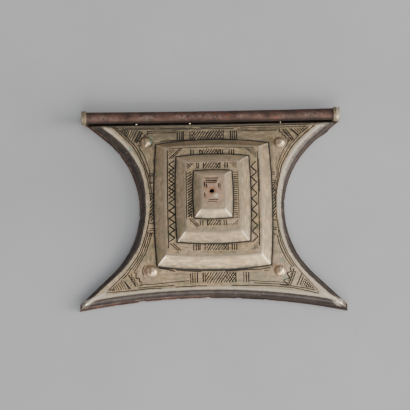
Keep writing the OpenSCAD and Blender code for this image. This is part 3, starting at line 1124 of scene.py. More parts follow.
# The apex: its dished hole, a lump beside it with a painted highlight, and the melted metal round both
DISH_DEPTH = 0.20
DISH_W = 0.45
LUMP = (1.5, -0.35)
LUMP_R = 0.85
LUMP_H = 0.30
LUMP_NARROWING = 1.4
LUMP_HIGHLIGHT = 1.6
LUMP_HIGHLIGHT_R = 0.8
MELTED_Y = 1.6
MELTED_R = 3.4
MELTED_H = 0.10


def hole_rings(plan):
    """Adds the rings of the four shank holes and of the apex hole."""
    rings = [plan.ring(circle((s.x, s.y), SHANK_HOLE_R, STUD_HOLE_COUNT)) for s in STUDS]
    return rings + [plan.ring(circle(APEX_HOLE, APEX_HOLE_R, APEX_HOLE_COUNT))]


def field_scatter():
    """A jittered grid of points on the field and the pyramid."""
    hand = random.Random(5)
    jitter = FIELD_JITTER * FIELD_SPACING
    grid = []
    for y in np.arange(-LOWER_REACH - 4, UPPER_REACH, FIELD_SPACING):
        for x in np.arange(-SPAN_W / 2, SPAN_W / 2, FIELD_SPACING):
            grid.append((x + hand.uniform(-jitter, jitter), y + hand.uniform(-jitter, jitter)))
    grid = np.array(grid)
    return grid[inside_outline(grid[:, 0], grid[:, 1], SHOULDER[-1][0] + 0.2)]


def face_plan(cuts):
    """The outer side of the face in plan: rounded edge, steps, cuts, holes and a scatter between them."""
    plan = Plan()
    rings = [plan.ring(hourglass(inset, UPPER_REACH - UPPER_EDGE_STEEPNESS * inset), z)
             for inset, z in SHOULDER]
    for step in STEPS:
        run = slope_run(step)
        line = FOOT_LINE_W / 2 / run
        shares = [-BELOW_SLOPE / run, -line, 0, line, *SLOPE_RINGS, *(1 + past / run for past in ABOVE_SLOPE)]
        corners = []
        for share in shares:
            sides = bowed(step, share, RING_SPACING)
            numbers = plan.ring(np.concatenate(sides))
            firsts = np.cumsum([0] + [len(s) for s in sides[:3]])
            corners.append([numbers[i] for i in firsts])
        for hip in zip(*corners):
            plan.chain(list(hip))
    for c in cuts:
        plan.groove(c)
    holes = hole_rings(plan)
    for past in HOLE_RINGS:
        plan.ring(circle(APEX_HOLE, APEX_HOLE_R + past, APEX_HOLE_COUNT))
    plan.add(plan.clear_of(field_scatter(), FIELD_CLEARANCE))
    return plan, rings[0], holes


def lining_plan():
    """The inner side of the face in plan."""
    plan = Plan()
    outer = COVER_INSET + EDGE_WALL
    edge = plan.ring(hourglass(outer, UPPER_REACH - outer), COVER_Z)
    inner = FIELD_INSET + FIELD_WALL
    plan.ring(hourglass(inner, UPPER_REACH - inner), FIELD_Z - COVER_T)
    for step in STEPS:
        for share in (0, 1):
            plan.ring(np.concatenate(bowed(step, share, 2 * RING_SPACING, COVER_T)))
    return plan, edge, hole_rings(plan)


# How bright a slope's ridge and hips are, from wear and a painted highlight, how grimy its foot is, and over
# what width in mm
RIDGE_BRIGHTENING = 0.6
RIDGE_W = 0.32
HIP_W = 0.38
FOOT_GRIME = (0.9, 0.8, 0.8)
FOOT_GRIME_W = 0.6
FOOT_GRIME_FLAT = 0.1
# Painted shade over the lower part of each slope: how far up it reaches, and how dark it is on the left,
# right and end slopes
SHADE_REACH = 2.2
SHADE_LEFT, SHADE_RIGHT, SHADE_ENDS = 0.60, 0.35, 0.50
# The field's streaks run along Y where x is more than this share of y
LENGTHWISE = 0.85
# Masks and tones reach this share of a slope past its foot and its top
MASK_MARGIN = 0.05
TONE_MARGIN = 0.02


def ridge_and_foot_masks(xy):
    """Masks: ridges and hips made bright by wear and a painted highlight; dirt at the foot of each slope,
    with painted shade over the slope's lower part, stronger on the left; and where streaks run along Y.
    """
    x, y = xy.T
    worn = np.zeros(len(xy))
    grime = np.zeros(len(xy))
    lengthwise = np.abs(x) > np.abs(y) * LENGTHWISE
    for step, foot_grime in zip(STEPS, FOOT_GRIME):
        share_x, share_y = slope_shares(step, x, y)
        share = np.minimum(share_x, share_y)
        run = slope_run(step)
        on_slope = (share > -MASK_MARGIN) & (share < 1 + MASK_MARGIN)
        hip = bell((share_x - share_y) * run, HIP_W) * on_slope
        # Ridges and hips made bright: wear and a painted highlight
        worn = np.maximum(worn, np.maximum(RIDGE_BRIGHTENING * bell((share - 1) * run, RIDGE_W), hip))
        foot = np.exp(-np.maximum(0, np.abs(share * run) - FOOT_GRIME_FLAT) / FOOT_GRIME_W)
        grime = np.maximum(grime, foot * foot_grime)
        # Painted shade over the lower part of each slope
        shaded = (share > 0) * np.clip(1 - share * run / SHADE_REACH, 0, 1)
        beside = np.where(x > PYRAMID_X, SHADE_RIGHT, SHADE_LEFT)
        grime = np.maximum(grime, shaded * np.where(share_x < share_y, beside, SHADE_ENDS))
        lengthwise = np.where(share > -MASK_MARGIN, share_x < share_y, lengthwise)
    return worn, grime, lengthwise.astype(float)


# The edge along each flank: side, height, how far in its dark scale and painted shade reach, how far in a
# mottled painted shade dims the edge's own highlight, where its painted highlight line runs, how bright that
# is, and where the plain border ends
EDGE_MARKS = table("EdgeMark", "side height dark mottled line shine border", [
    (-1, -32, 2.1, 2.1, 2.5, 0.15, 4.2), (-1, -26, 2.3, 2.3, 2.7, 0.15, 4.1),
    (-1, -21, 2.6, 2.6, 3.0, 0.15, 3.9), (-1, -15, 2.95, 2.95, 3.2, 0.15, 3.6),
    (-1, -9, 2.45, 2.45, 2.8, 0.15, 3.6), (-1, 3, 2.3, 2.3, 2.65, 0.15, 3.7),
    (-1, 10, 2.9, 2.9, 3.2, 0.15, 3.8), (-1, 14, 3.1, 3.1, 3.45, 0.2, 4.2),
    (-1, 23, 2.8, 2.9, 3.3, 0.6, 4.5), (-1, 31, 2.2, 2.4, 2.8, 0.6, 4.3),
    (1, -32, 2.4, 2.6, 3.0, 0.5, 4.4), (1, -17, 2.2, 2.5, 2.9, 0.5, 3.5),
    (1, -6, 1.4, 1.5, 1.95, 0.6, 2.8), (1, 4, 1.3, 1.6, 2.05, 0.8, 2.8),
    (1, 14, 1.65, 2.0, 2.4, 1.0, 3.6), (1, 22, 1.7, 2.05, 2.45, 1.0, 3.8),
    (1, 31, 1.6, 1.95, 2.4, 1.0, 3.6),
])
# How dark the mottled painted shade that dims the edge's own highlight is, the painted highlight line's
# width, and along the lower edge: how far in the dark scale and painted shade reach, where its painted
# highlight line runs, how bright and wide that is, and where the plain border ends
MOTTLED = 0.06
EDGE_HIGHLIGHT_W = 0.42
BORDER_FADE = 0.4
LOWER_DARK = 2.3
LOWER_LINE = 2.75
LOWER_HIGHLIGHT = 0.6
LOWER_HIGHLIGHT_W = 0.4
LOWER_BORDER = 3.4
# The painted highlight along a lower horn's ridge, which also clears the dark edge there, starts this far
# from the middle
HORN_START = 34
HORN_FADE = 4
HORN_RIDGE_W = 0.9
HORN_RIDGE_CLEAN = 2.2
# Width over which the edge layer rises from 0 to 1, with 0.5 where the dark scale and painted shade end
EDGE_SPAN = 4


def edge_layers(xy):
    """Layers for the rounded edge: where its dark scale and painted shade end, its painted highlight line,
    and the plain border.
    """
    from_flank, from_lower = insets(*xy.T)
    dark, shine, border = (np.zeros(len(xy)) for _ in range(3))
    for side in (-1, 1):
        marks = [m for m in EDGE_MARKS if m.side == side]
        here = xy[:, 0] * side > 0
        _, heights, *columns = zip(*marks)
        reach, mottled, line, bright, end = [np.interp(xy[here, 1], heights, column) for column in columns]
        gap = from_flank[here]
        dark[here] = np.maximum(reach - gap, np.minimum(MOTTLED, mottled - gap))
        shine[here] = bright * bell(gap - line, EDGE_HIGHLIGHT_W)
        border[here] = ramped(end - gap, BORDER_FADE)
    on_horn = ramped(np.abs(xy[:, 0]) - HORN_START, HORN_FADE) * (xy[:, 1] < 0)
    ridge = on_horn * bell(from_flank - from_lower, HORN_RIDGE_W)
    dark = np.maximum(dark, LOWER_DARK - from_lower) - HORN_RIDGE_CLEAN * ridge
    # Painted highlight lines along the lower edge and along the horns' ridges
    low_line = LOWER_HIGHLIGHT * bell(from_lower - LOWER_LINE, LOWER_HIGHLIGHT_W)
    border = np.maximum(border, ramped(LOWER_BORDER - from_lower, BORDER_FADE)) * (dark <= MOTTLED)
    shine = np.maximum(shine, np.maximum(low_line, ridge))
    return {"edge": np.clip(0.5 + dark / EDGE_SPAN, 0, 1), "shine": shine, "border": border}


def stain_layers(xy):
    layers = {name: np.zeros(len(xy)) for name in ("green", "brown", "rosy", "orange")}
    for s in STAINS:
        spread = ((xy[:, 0] - s.x) / s.half_w) ** 2 + ((xy[:, 1] - s.y) / s.half_h) ** 2
        layers[s.layer] = np.maximum(layers[s.layer], s.strength * np.exp(-spread))
    return layers


# Painted tones of the slopes: shade on the lower ones, which the front light falls on, and light on the upper
# ones and on all that face away from the lights
LOWER_SLOPE_PAINTED_SHADE = 0.58
UPPER_SLOPE_PAINTED_LIGHT = 0.34
SHADED_SLOPE_PAINTED_LIGHT = 0.22
# Tarnish on the flat parts: its level in the middle, the rise in mm that adds 1, the turn of that rise to
# the upper left, its most, and the extra above a height
FLAT_TARNISH = 0.20
TARNISH_RISE = 75
TARNISH_TURN = 0.7
MOST_TARNISH = 0.70
HIGH_TARNISH = 0.40
HIGH_UP = 21
HIGH_FADE = 4
# The lighter lower right corner, from this far down and to the right
CORNER_LIGHTENING = 0.45
CORNER_START = 28
CORNER_FADE = 30
# Painted light on the plain border along the flanks, stronger on the right where the key light falls
BORDER_LIGHT_LEFT, BORDER_LIGHT_RIGHT = 0.10, 0.32
STUD_GRIME = 0.35
STUD_GRIME_W = 0.35
# Painted shadow of the tube along the face's upper edge: how far below the edge it starts, and its fade
TUBE_SHADOW_REACH = 1.9
TUBE_SHADOW_FADE = 1.0


def face_tones(xy, worn, groove, border):
    """How dull and how bright the face is: dulled flats; painted shade on the right and lower slopes, which
    the lights fall on; painted light on the upper and left slopes, which face away; a lighter lower right
    corner; and a brighter plain border, more so on the right where the key light falls.
    """
    x, y = xy.T
    on_slope = np.zeros(len(xy), bool)
    lit_slope = np.zeros(len(xy))
    for step in STEPS:
        share_x, share_y = slope_shares(step, x, y)
        share = np.minimum(share_x, share_y)
        slope = (share > -TONE_MARGIN) & (share < 1 + TONE_MARGIN)
        on_slope |= slope
        level = slope & (share_x >= share_y)
        # Painted shade on the right and lower slopes, which the lights fall on, and painted light on the
        # upper and left ones
        lit_slope = np.where(slope & (share_x < share_y) & (x > PYRAMID_X), step.tarnish, lit_slope)
        lit_slope = np.where(level & (y < step.shift), LOWER_SLOPE_PAINTED_SHADE, lit_slope)
        worn = np.maximum(worn, UPPER_SLOPE_PAINTED_LIGHT * (level & (y > step.shift)))
    tarnish = np.clip(FLAT_TARNISH + (y - TARNISH_TURN * x) / TARNISH_RISE, 0, MOST_TARNISH)
    tarnish = (tarnish + HIGH_TARNISH * ramped(y - HIGH_UP, HIGH_FADE)) * (1 - border)
    tarnish = np.where(on_slope, lit_slope, tarnish)
    worn = np.maximum(worn, CORNER_LIGHTENING * ramped(x - y - CORNER_START, CORNER_FADE) * ~on_slope)
    worn = np.maximum(worn, SHADED_SLOPE_PAINTED_LIGHT * (on_slope & (lit_slope == 0)))
    # Painted light on the plain border, stronger on the right
    side = np.where(x > 0, BORDER_LIGHT_RIGHT, BORDER_LIGHT_LEFT)
    return tarnish, np.maximum(worn, side * border * (1 - groove))


def build_face(finish):
    """The engraved silver face as one closed sheet, open at its apex and under its studs."""
    cuts = engraving()
    plan, edge, holes = face_plan(cuts)
    xy, faces, heights, places = plan.triangles(edge, holes)
    x, y = xy.T
    set_height = ~np.isnan(heights)
    z = np.where(set_height, heights, face_height(x, y))
    deep, groove = cut_depths(xy, cuts)
    for step in STEPS:
        gap = np.abs(np.minimum(*slope_shares(step, x, y))) * slope_run(step)
        share = np.clip(1 - gap / (FOOT_LINE_W / 2), 0, 1)
        deep = np.maximum(deep, FOOT_LINE_DEPTH * share)
        groove = np.maximum(groove, share)
    flat = np.column_stack([xy, np.zeros(len(xy))])
    calm = np.where(set_height, ramped(z - COVER_Z, FIELD_Z - COVER_Z) ** 2, 1)
    uneven = UNEVEN_WIDE * noise_at(flat, 8.0, 1) + UNEVEN_FINE * noise_at(flat, 2.2, 2)
    dish = DISH_DEPTH * bell(np.hypot(*(xy - APEX_HOLE).T) - APEX_HOLE_R, DISH_W)
    lump_at = np.hypot(x - LUMP[0], (y - LUMP[1]) * LUMP_NARROWING)
    melted = np.exp(-(np.hypot(x, y - MELTED_Y) / MELTED_R) ** 4)
    lump = LUMP_H * bell(lump_at, LUMP_R) + MELTED_H * noise_at(flat, 0.9, 3) * melted
    z = np.minimum(z + calm * (uneven - UNEVEN_SINK) + lump, FIELD_Z + PYRAMID_H) - deep - dish

    worn, grime, lengthwise = ridge_and_foot_masks(xy)
    # Painted highlight on the lump beside the apex hole
    worn = np.maximum(worn * (1 - groove), LUMP_HIGHLIGHT * bell(lump_at, LUMP_HIGHLIGHT_R))
    layers = {**stain_layers(xy), **edge_layers(xy)}
    tarnish, worn = face_tones(xy, worn, groove, layers.pop("border"))
    for s in STUDS:
        beyond = np.maximum(0, np.hypot(x - s.x, y - s.y) - s.share * STUD_R)
        grime = np.maximum(grime, STUD_GRIME * np.exp(-beyond / STUD_GRIME_W))
    # Painted shadow of the tube along the upper edge
    grime = np.maximum(grime, ramped(y - (UPPER_REACH - TUBE_SHADOW_REACH), TUBE_SHADOW_FADE))
    layers.update(worn=worn, grime=grime, groove=groove, lengthwise=lengthwise, tarnish=tarnish)

    lining, inner_edge, inner_holes = lining_plan()
    in_xy, in_faces, in_heights, in_places = lining.triangles(inner_edge, inner_holes)
    in_z = np.where(np.isnan(in_heights), lining_height(*in_xy.T), in_heights)
    first = len(xy)
    points = np.concatenate([np.column_stack([xy, z]), np.column_stack([in_xy, in_z])])
    faces += [tuple(first + i for i in f[::-1]) for f in in_faces]
    for outer, inner in zip([edge] + holes, [inner_edge] + inner_holes):
        faces += bridge([places[i] for i in outer], [first + in_places[i] for i in inner])
    layers = {name: np.concatenate([v, np.zeros(len(in_xy))]) for name, v in layers.items()}
    material = shared_material("engraved_silver", silver_material, finish, True)
    add_piece("amulet_face", points, faces, material, "face_cover", layers, 30)


# Copper back

# Nicks along the cut edge, as charted: x and y from the waist's middle, half length and depth in mm
NICKS = table("Nick", "x y half_l depth", [
    (-31.1, 20.3, 0.9, 0.35), (-24.9, -3.6, 0.5, 0.45), (-31.6, -21.0, 1.0, 0.40),
    (24.8, 1.9, 0.5, 0.35), (29.1, -17.8, 0.7, 0.60), (30.2, -19.8, 0.8, 1.0),
    (-24.0, -34.5, 1.0, 0.50), (-1.9, -33.4, 0.8, 0.45), (17.8, -34.4, 0.6, 0.25),
    (35.5, 24.6, 1.4, 0.35), (38.2, 26.9, 1.8, -1.0), (-33.5, 23.4, 0.8, 0.30),
    (-28.8, -16.4, 0.6, 0.25), (8.5, -33.7, 0.7, 0.25), (-12.0, -33.6, 0.5, 0.22),
])
# Profile of the back from the floor inside its rim, over the rim and round the sheet's edge: inset and z;
# ragged: its share of the hand-cut edge; dented: whether its height is uneven; how bright it is, from wear
# and, on the sheet's cut edge, a painted highlight; how dark it is; sheet: whether it belongs to the flat
# sheet, which runs out under the tube
INNER = LIP_W + RIM_T
WALL_RAGGED = 0.55
TOP_RAGGED = 0.35 * WALL_RAGGED
RIM_ROWS = table("RimRow", "inset z ragged dented worn grime sheet", [
    (INNER, SHEET_T, 0.0, 0, 0.1, 0.9, False),
    (INNER, RIM_H - 0.2, 0.0, 0, 0.1, 0.9, False),
    (INNER - 0.12, RIM_H - 0.04, 0.0, 1, 0.1, 0.7, False),
    (LIP_W + 0.6, RIM_H, 0.0, 1, 0.1, 0.35, False),
    (LIP_W + 0.25, RIM_H, TOP_RAGGED, 1, 0.5, 0.0, False),
    (LIP_W + 0.08, RIM_H - 0.08, TOP_RAGGED, 1, 0.9, 0.0, False),
    (LIP_W, RIM_H - 0.25, WALL_RAGGED, 1, 0.6, 0.0, False),
    (LIP_W, 1.0, WALL_RAGGED, 0, 0.1, 0.0, False),
    (LIP_W, SHEET_T + 0.12, WALL_RAGGED, 0, 0.1, 0.6, False),
    (LIP_W - 0.05, SHEET_T, 1.0, 0, 0.1, 0.5, True),
    (0.10, SHEET_T - 0.01, 1.0, 0, 0.8, 0.0, True),
    (0.0, SHEET_T - 0.1, 1.0, 0, 0.9, 0.0, True),
    (0.0, 0.14, 1.0, 0, 0.5, 0.0, True),
    (0.10, 0.0, 1.0, 0, 0.1, 0.0, True),
])
BACK_COUNTS = (170, 150, 90)
BURR_WIDE = 0.05
BURR_FINE = 0.045
RIM_DENT = 0.05
# The direction inwards is found from a ring this far in
INWARD_PROBE = 2.0
CORNER_STEP = 0.1
LEDGE_BEVEL = 0.05
# The edge stays smooth this near the tube
SMOOTH_TOP = 0.6
# The right side, which the key light falls on, is painted darker: how much of its wear shows there, and its
# least painted shade
RIGHT_SHADED_WEAR = 0.35
RIGHT_PAINTED_SHADE = 0.85


def back_ring(inset, is_sheet):
    """The back's outline moved in by inset; a sheet's ring runs out over the ledge under the tube."""
    top_y = UPPER_REACH - (UPPER_EDGE_STEEPNESS * inset if inset <= LIP_W else inset)
    ring = hourglass(inset, top_y + (CORNER_REACH if is_sheet else 0), BACK_COUNTS)
    lower_n, flank_n, upper_n = BACK_COUNTS
    first = lower_n + 1 + flank_n + 1
    last = first + upper_n - 2
    right, left = ring[first - 1], ring[last + 1]
    if is_sheet:
        ring[first + 1:last, 0] = np.linspace(LEDGE_HALF, -LEDGE_HALF, last - first - 1)
        ring[first + 1:last, 1] = UPPER_REACH + TUBE_SETBACK
        ring[first] = LEDGE_HALF + LEDGE_BEVEL, right[1]
        ring[last] = -LEDGE_HALF - LEDGE_BEVEL, left[1]
    else:
        ends = right[0] - CORNER_STEP, left[0] + CORNER_STEP
        ring[first:last + 1, 0] = np.linspace(*ends, last + 1 - first)
    return ring


def build_back(finish):
    """The copper back sheet, its ledge and its rim, with a hand-cut edge."""
    outer = back_ring(0.0, False)
    inward = back_ring(INWARD_PROBE, False) - outer
    inward = inward / np.maximum(np.hypot(*inward.T)[:, None], 1e-6)
    flat = np.column_stack([outer, np.zeros(len(outer))])
    ragged = BURR_WIDE * (1 + noise_at(flat, 1.3, 4)) + BURR_FINE * (1 + noise_at(flat, 0.5, 5))
    for n in NICKS:
        ragged += n.depth * bell(np.hypot(outer[:, 0] - n.x, outer[:, 1] - n.y), n.half_l)
    ragged = np.where(outer[:, 1] > UPPER_REACH - SMOOTH_TOP, 0, ragged)
    dents = RIM_DENT * (1 + noise_at(flat, 2.4, 6))
    patchy = np.clip(0.5 + noise_at(flat, 4.0, 7), 0, 1)
    on_right = outer[:, 0] > 0
    rings, worn, grime = [], [], []
    for row in RIM_ROWS:
        ring = back_ring(row.inset, row.sheet) + inward * (ragged * row.ragged)[:, None]
        rings.append(np.column_stack([ring, row.z - dents * row.dented]))
        # Painted shade on the right side, where the key light falls
        worn.append(row.worn * np.where(on_right, RIGHT_SHADED_WEAR, 1) * patchy)
        grime.append(np.maximum(row.grime, RIGHT_PAINTED_SHADE * on_right))
    count = len(outer)
    faces = skin(len(rings), count)
    for level in (0, len(rings) - 1):
        cap = Plan()
        around = cap.ring(rings[level][:, :2])
        _, cap_faces, _, places = cap.triangles(around)
        numbers = {new: level * count + old for old, new in places.items()}
        faces += [tuple(numbers[i] for i in f) for f in cap_faces]
    layers = {"worn": np.concatenate(worn), "grime": np.concatenate(grime)}
    material = shared_material("oxidised_copper", copper_material, finish, finish.copper, (0.8, 0.8, 1.5))
    points = np.concatenate(rings)
    add_piece("copper_back", points, faces, material, "back_plate", layers, 40)


# Round pieces

AXIS = (TUBE_Y - WAIST_Y, TUBE_Z)


def revolved(profile, count):
    """Points and faces of a closed profile turned about the tube's middle line; its rows are x and radius."""
    ways = [Vector((math.cos(2 * math.pi * i / count), math.sin(2 * math.pi * i / count)))
            for i in range(count)]
    points = [(x, AXIS[0] + way.x * r, AXIS[1] + way.y * r) for x, r in profile for way in ways]
    return np.array(points), skin(len(profile), count, closed=True)


def polar(points):
    """Each point's turn about the tube's middle line, and its distance from it."""
    y = points[:, 1] - AXIS[0]
    z = points[:, 2] - AXIS[1]
    return np.arctan2(z, y), np.hypot(z, y)


def set_polar(points, turn, r):
    points[:, 1] = AXIS[0] + r * np.cos(turn)
    points[:, 2] = AXIS[1] + r * np.sin(turn)


# The vertex layers that the silver and the copper read
LAYERS = ("worn", "grime", "groove", "rosy", "brown", "green", "lengthwise", "edge", "tarnish", "shine",
          "orange")


def plain_layers(points, **given):
    """Every layer, nothing where none is given."""
    return {name: np.asarray(given.get(name, np.zeros(len(points)))) for name in LAYERS}


# Hanging tube: how far its middle has bent towards the face, and its dents, all in mm
TUBE_SAG = 0.30
BORE_SAG = TUBE_SAG / 3
TUBE_STATIONS = 141
BORE_SKIP = 4
TUBE_COUNT = 56
TUBE_CHAMFER = 0.08
DENTS_WIDE = 0.05
DENTS_FINE = 0.02
FAR_SIDE_CALM = 0.5
# Its rubbed crest, as a turn in radians from +Y towards +Z, and the turns of its underside and of its side
# towards the face, which get painted shade
CREST_TURN = 1.9
CREST_W = 0.35
CREST_WORN = 0.6
CREST_LEVEL = 0.4
UNDER_TURN = -0.9
UNDER_FADE = 0.8
UNDER_END = -2.6
FACING_TURNS = (2.6, -2.3)
FACING_SHADE = 0.8
BORE_GRIME = 0.9


def build_tube(finish):
    """The hanging tube: a slightly uneven copper pipe, open right through."""
    stations = np.linspace(-TUBE_HALF, TUBE_HALF, TUBE_STATIONS)
    outside = [(x, TUBE_R) for x in stations]
    outside[0] = (-TUBE_HALF, TUBE_R - TUBE_CHAMFER)
    outside[-1] = (TUBE_HALF, TUBE_R - TUBE_CHAMFER)
    inside = [(x, BORE_R) for x in stations[::-BORE_SKIP]]
    points, faces = revolved(outside + inside, TUBE_COUNT)
    turn, r = polar(points)
    shell = r > (TUBE_R + BORE_R) / 2
    dents = DENTS_WIDE * (1 + noise_at(points * [0.35, 1, 1], 2.2, 8))
    dents += DENTS_FINE * (1 + noise_at(points, 0.9, 9))
    far_side = np.clip(np.cos(turn), 0, 1)
    r = r - np.where(shell, dents * (1 - FAR_SIDE_CALM * far_side), 0)
    sag = np.where(shell, TUBE_SAG, BORE_SAG) * np.clip(1 - (points[:, 0] / LEDGE_HALF) ** 2, 0, 1)
    set_polar(points, turn, r)
    points[:, 1] -= sag
    crest = shell * bell(turn - CREST_TURN, CREST_W)
    worn = crest * np.clip(CREST_LEVEL + noise_at(points, 6.0, 10), 0, 1) * CREST_WORN
    # Painted shade on the tube's underside and on its side towards the face
    under = ramped(-turn + UNDER_TURN, UNDER_FADE) * (turn > UNDER_END)
    facing = shell & ((turn > FACING_TURNS[0]) | (turn < FACING_TURNS[1]))
    grime = np.maximum(np.where(shell, under, BORE_GRIME), FACING_SHADE * facing)
    layers = plain_layers(points, worn=worn, grime=grime)
    material = shared_material("mottled_copper", copper_material, finish, finish.tube, (0.5, 1.6, 1.6))
    add_piece("copper_tube", points, faces, material, "hanging_tube", layers, 40)


# Collars: each groove's place from the tube's end, half width and depth in mm
COLLARS = table("Collar", "node grooves", [
    ("left_collar", [(0.45, 0.18, 0.12)]),
    ("right_collar", [(0.62, 0.22, 0.24), (1.35, 0.2, 0.10)]),
])
COLLAR_CORNER = 0.22
COLLAR_COUNT = 72
COLLAR_DENTS = 0.04
CORNER_TURNS = (0.5, 1.0)
# A groove's profile from its low to its high side: share of its half width, and of its depth
GROOVE_PROFILE = ((-1, 0), (-0.5, 0.7), (0, 1), (0.5, 0.7), (1, 0))
# Grime by the bore, how fast it falls off outwards, and the dull outside
BORE_SIDE_GRIME = 0.9
BORE_SIDE_FALL = 1.25
COLLAR_DULL = 0.45
COLLAR_DULL_SPREAD = 0.25
COLLAR_TARNISH = 0.9
# The right collar's painted highlight line and its brown end, from the tube's end in mm
COLLAR_HIGHLIGHT_PLACE = 0.62
COLLAR_HIGHLIGHT_W = 0.30
BROWN_END = 0.8
BROWN_REACH = 0.45
BROWN_FADE = 0.2


def collar_profile(low, high, inner, grooves):
    """A band with rounded outer corners and grooves."""
    corner = COLLAR_CORNER
    ease = [(corner * (1 - math.cos(t)), corner * (1 - math.sin(t))) for t in CORNER_TURNS]
    rows = [(low, inner), (low, COLLAR_R - corner)]
    rows += [(low + along, COLLAR_R - down) for along, down in ease]
    rows.append((low + corner, COLLAR_R))
    for place, half, depth in grooves:
        for share, deep in GROOVE_PROFILE:
            rows.append((place + share * half, COLLAR_R - depth * deep))
    rows.append((high - corner, COLLAR_R))
    rows += [(high - along, COLLAR_R - down) for along, down in ease[::-1]]
    return rows + [(high, COLLAR_R - corner), (high, inner)]


def build_collars(finish):
    """The two silver collars; the right one has a second groove, a painted highlight line and a brown end."""
    bore = TUBE_R + FIT_GAP
    for collar in COLLARS:
        low, high = box_mm(collar.node)
        is_right = collar.node == "right_collar"
        grooves = sorted((high.x - place if is_right else low.x + place, half, depth)
                         for place, half, depth in collar.grooves)
        points, faces = revolved(collar_profile(low.x, high.x, bore, grooves), COLLAR_COUNT)
        turn, r = polar(points)
        r = r - np.where(r > bore + 0.05, COLLAR_DENTS * (1 + noise_at(points, 1.2, 12)), 0)
        set_polar(points, turn, r)
        height = (r - bore) / (COLLAR_R - bore)
        # A painted highlight line on the right collar, where the dulling and darkening are left off
        bright = bell(points[:, 0] - high.x + COLLAR_HIGHLIGHT_PLACE, COLLAR_HIGHLIGHT_W) * is_right
        dull = COLLAR_DULL + COLLAR_DULL_SPREAD * noise_at(points, 1.4, 13)
        by_bore = np.clip(1 - height * BORE_SIDE_FALL, 0, 1) * BORE_SIDE_GRIME
        grime = np.maximum(by_bore, dull * (1 - bright))
        brown = ramped(points[:, 0] - high.x + BROWN_REACH, BROWN_FADE) * is_right
        layers = plain_layers(points, shine=bright, grime=grime, brown=BROWN_END * brown,
                              tarnish=COLLAR_TARNISH * (1 - bright))
        add_piece(collar.node.replace("collar", "silver_collar"), points, faces, rubbed_silver(finish),
                  collar.node, layers, 40)


STUD_COUNT = 44
DOME_RINGS = 14
STUD_LIP = 0.12
STUD_LUMPS = 0.10
# How much lower than the rest the dome's left side is, as a share of the crease's depth
LEFT_DROP = 0.4
# A dome is painted bright above this share of its height, as wear and a painted highlight, and darker below
# it;
# the upper studs are less bright and darker, and the left side of each gets less of the brightening and is
# rosier
STUD_BRIGHT_FROM = 0.35
STUD_FOOT_DARKENING = 1.2
UPPER_STUD_BRIGHTNESS, LOWER_STUD_BRIGHTNESS = 0.5, 1.0
UPPER_STUD_DARKENING, LOWER_STUD_DARKENING = 0.6, 0.15
LEFT_DIMMING = 0.7
STUD_ROSY = 0.25
LEFT_ROSY = 0.3


def stud_blank(stud_r):
    """A round dome over a shank as points and faces, with the dome's foot at z = 0."""
    ball_r = (STUD_H ** 2 + stud_r ** 2) / (2 * STUD_H)
    tail = -SHANK_TAIL + FIT_GAP
    rows = [(SHANK_R, tail), (SHANK_R, 0.0), (stud_r - STUD_LIP, 0.0)]
    rows += [(ball_r * math.sin(t), STUD_H - ball_r * (1 - math.cos(t)))
             for t in np.linspace(math.asin(stud_r / ball_r), 0, DOME_RINGS)[:-1]]
    turns = [2 * math.pi * i / STUD_COUNT for i in range(STUD_COUNT)]
    points = [(r * math.cos(turn), r * math.sin(turn), z) for r, z in rows for turn in turns]
    points += [(0, 0, tail), (0, 0, STUD_H)]
    foot, crown = len(points) - 2, len(points) - 1
    last = (len(rows) - 1) * STUD_COUNT
    around = [(i, (i + 1) % STUD_COUNT) for i in range(STUD_COUNT)]
    faces = skin(len(rows), STUD_COUNT) + [(foot, j, i) for i, j in around]
    return np.array(points), faces + [(crown, last + i, last + j) for i, j in around]


def build_studs(finish):
    """Four domed silver studs, each pressed a little out of round, with a shank through the face."""
    for number, stud in enumerate(STUDS):
        points, faces = stud_blank(STUD_R * stud.share)
        dome = points[:, 2] > 0.02
        turn = math.radians(stud.turn)
        across = points[:, 0] * math.cos(turn) + points[:, 1] * math.sin(turn)
        squeeze = np.where(dome, (stud.squash - 1) * across, 0)
        points[:, 0] += squeeze * math.cos(turn)
        points[:, 1] += squeeze * math.sin(turn)
        x, z = points[:, 0], points[:, 2]
        lumps = STUD_LUMPS * (1 + noise_at(points, 1.3, 20 + number)) * ramped(z, STUD_H)
        left_part = np.clip((CREASE_PLACE - x) / CREASE_W + 0.5, 0, 1)
        lumps += stud.crease * bell(x - CREASE_PLACE, CREASE_W) * z / STUD_H
        lumps += LEFT_DROP * stud.crease * left_part * z / STUD_H
        points[:, 2] -= np.where(dome, lumps, 0)
        height = ramped(points[:, 2], STUD_H)
        is_upper = stud.y > 0
        most_worn = UPPER_STUD_BRIGHTNESS if is_upper else LOWER_STUD_BRIGHTNESS
        # Wear and a painted highlight on the dome's top, less on its left side; darker towards its foot
        worn = np.clip(height - STUD_BRIGHT_FROM, 0, 1) * most_worn * (1 - LEFT_DIMMING * left_part)
        grime = np.clip(STUD_BRIGHT_FROM - height, 0, 1) * STUD_FOOT_DARKENING
        tarnish = np.full(len(points), UPPER_STUD_DARKENING if is_upper else LOWER_STUD_DARKENING)
        rosy = STUD_ROSY * height + LEFT_ROSY * left_part
        layers = plain_layers(points, worn=worn, grime=grime, rosy=rosy, tarnish=tarnish)
        points += [stud.x, stud.y, FIELD_Z + FIT_GAP]
        add_piece(stud.node.replace("stud", "silver_stud"), points, faces, rubbed_silver(finish),
                  stud.node, layers, 50)


# Beads of solder between the tube and the face: x from the waist's middle, and radius in mm
SOLDER = [(-25.6, 0.26), (-7.2, 0.30), (24.0, 0.22)]
SOLDER_STRETCH = (1.1, 1.15, 1.0, 1.0)
SOLDER_Y = UPPER_REACH + 0.02
SOLDER_Z = FIELD_Z - 0.45
SOLDER_LUMPS = 0.05


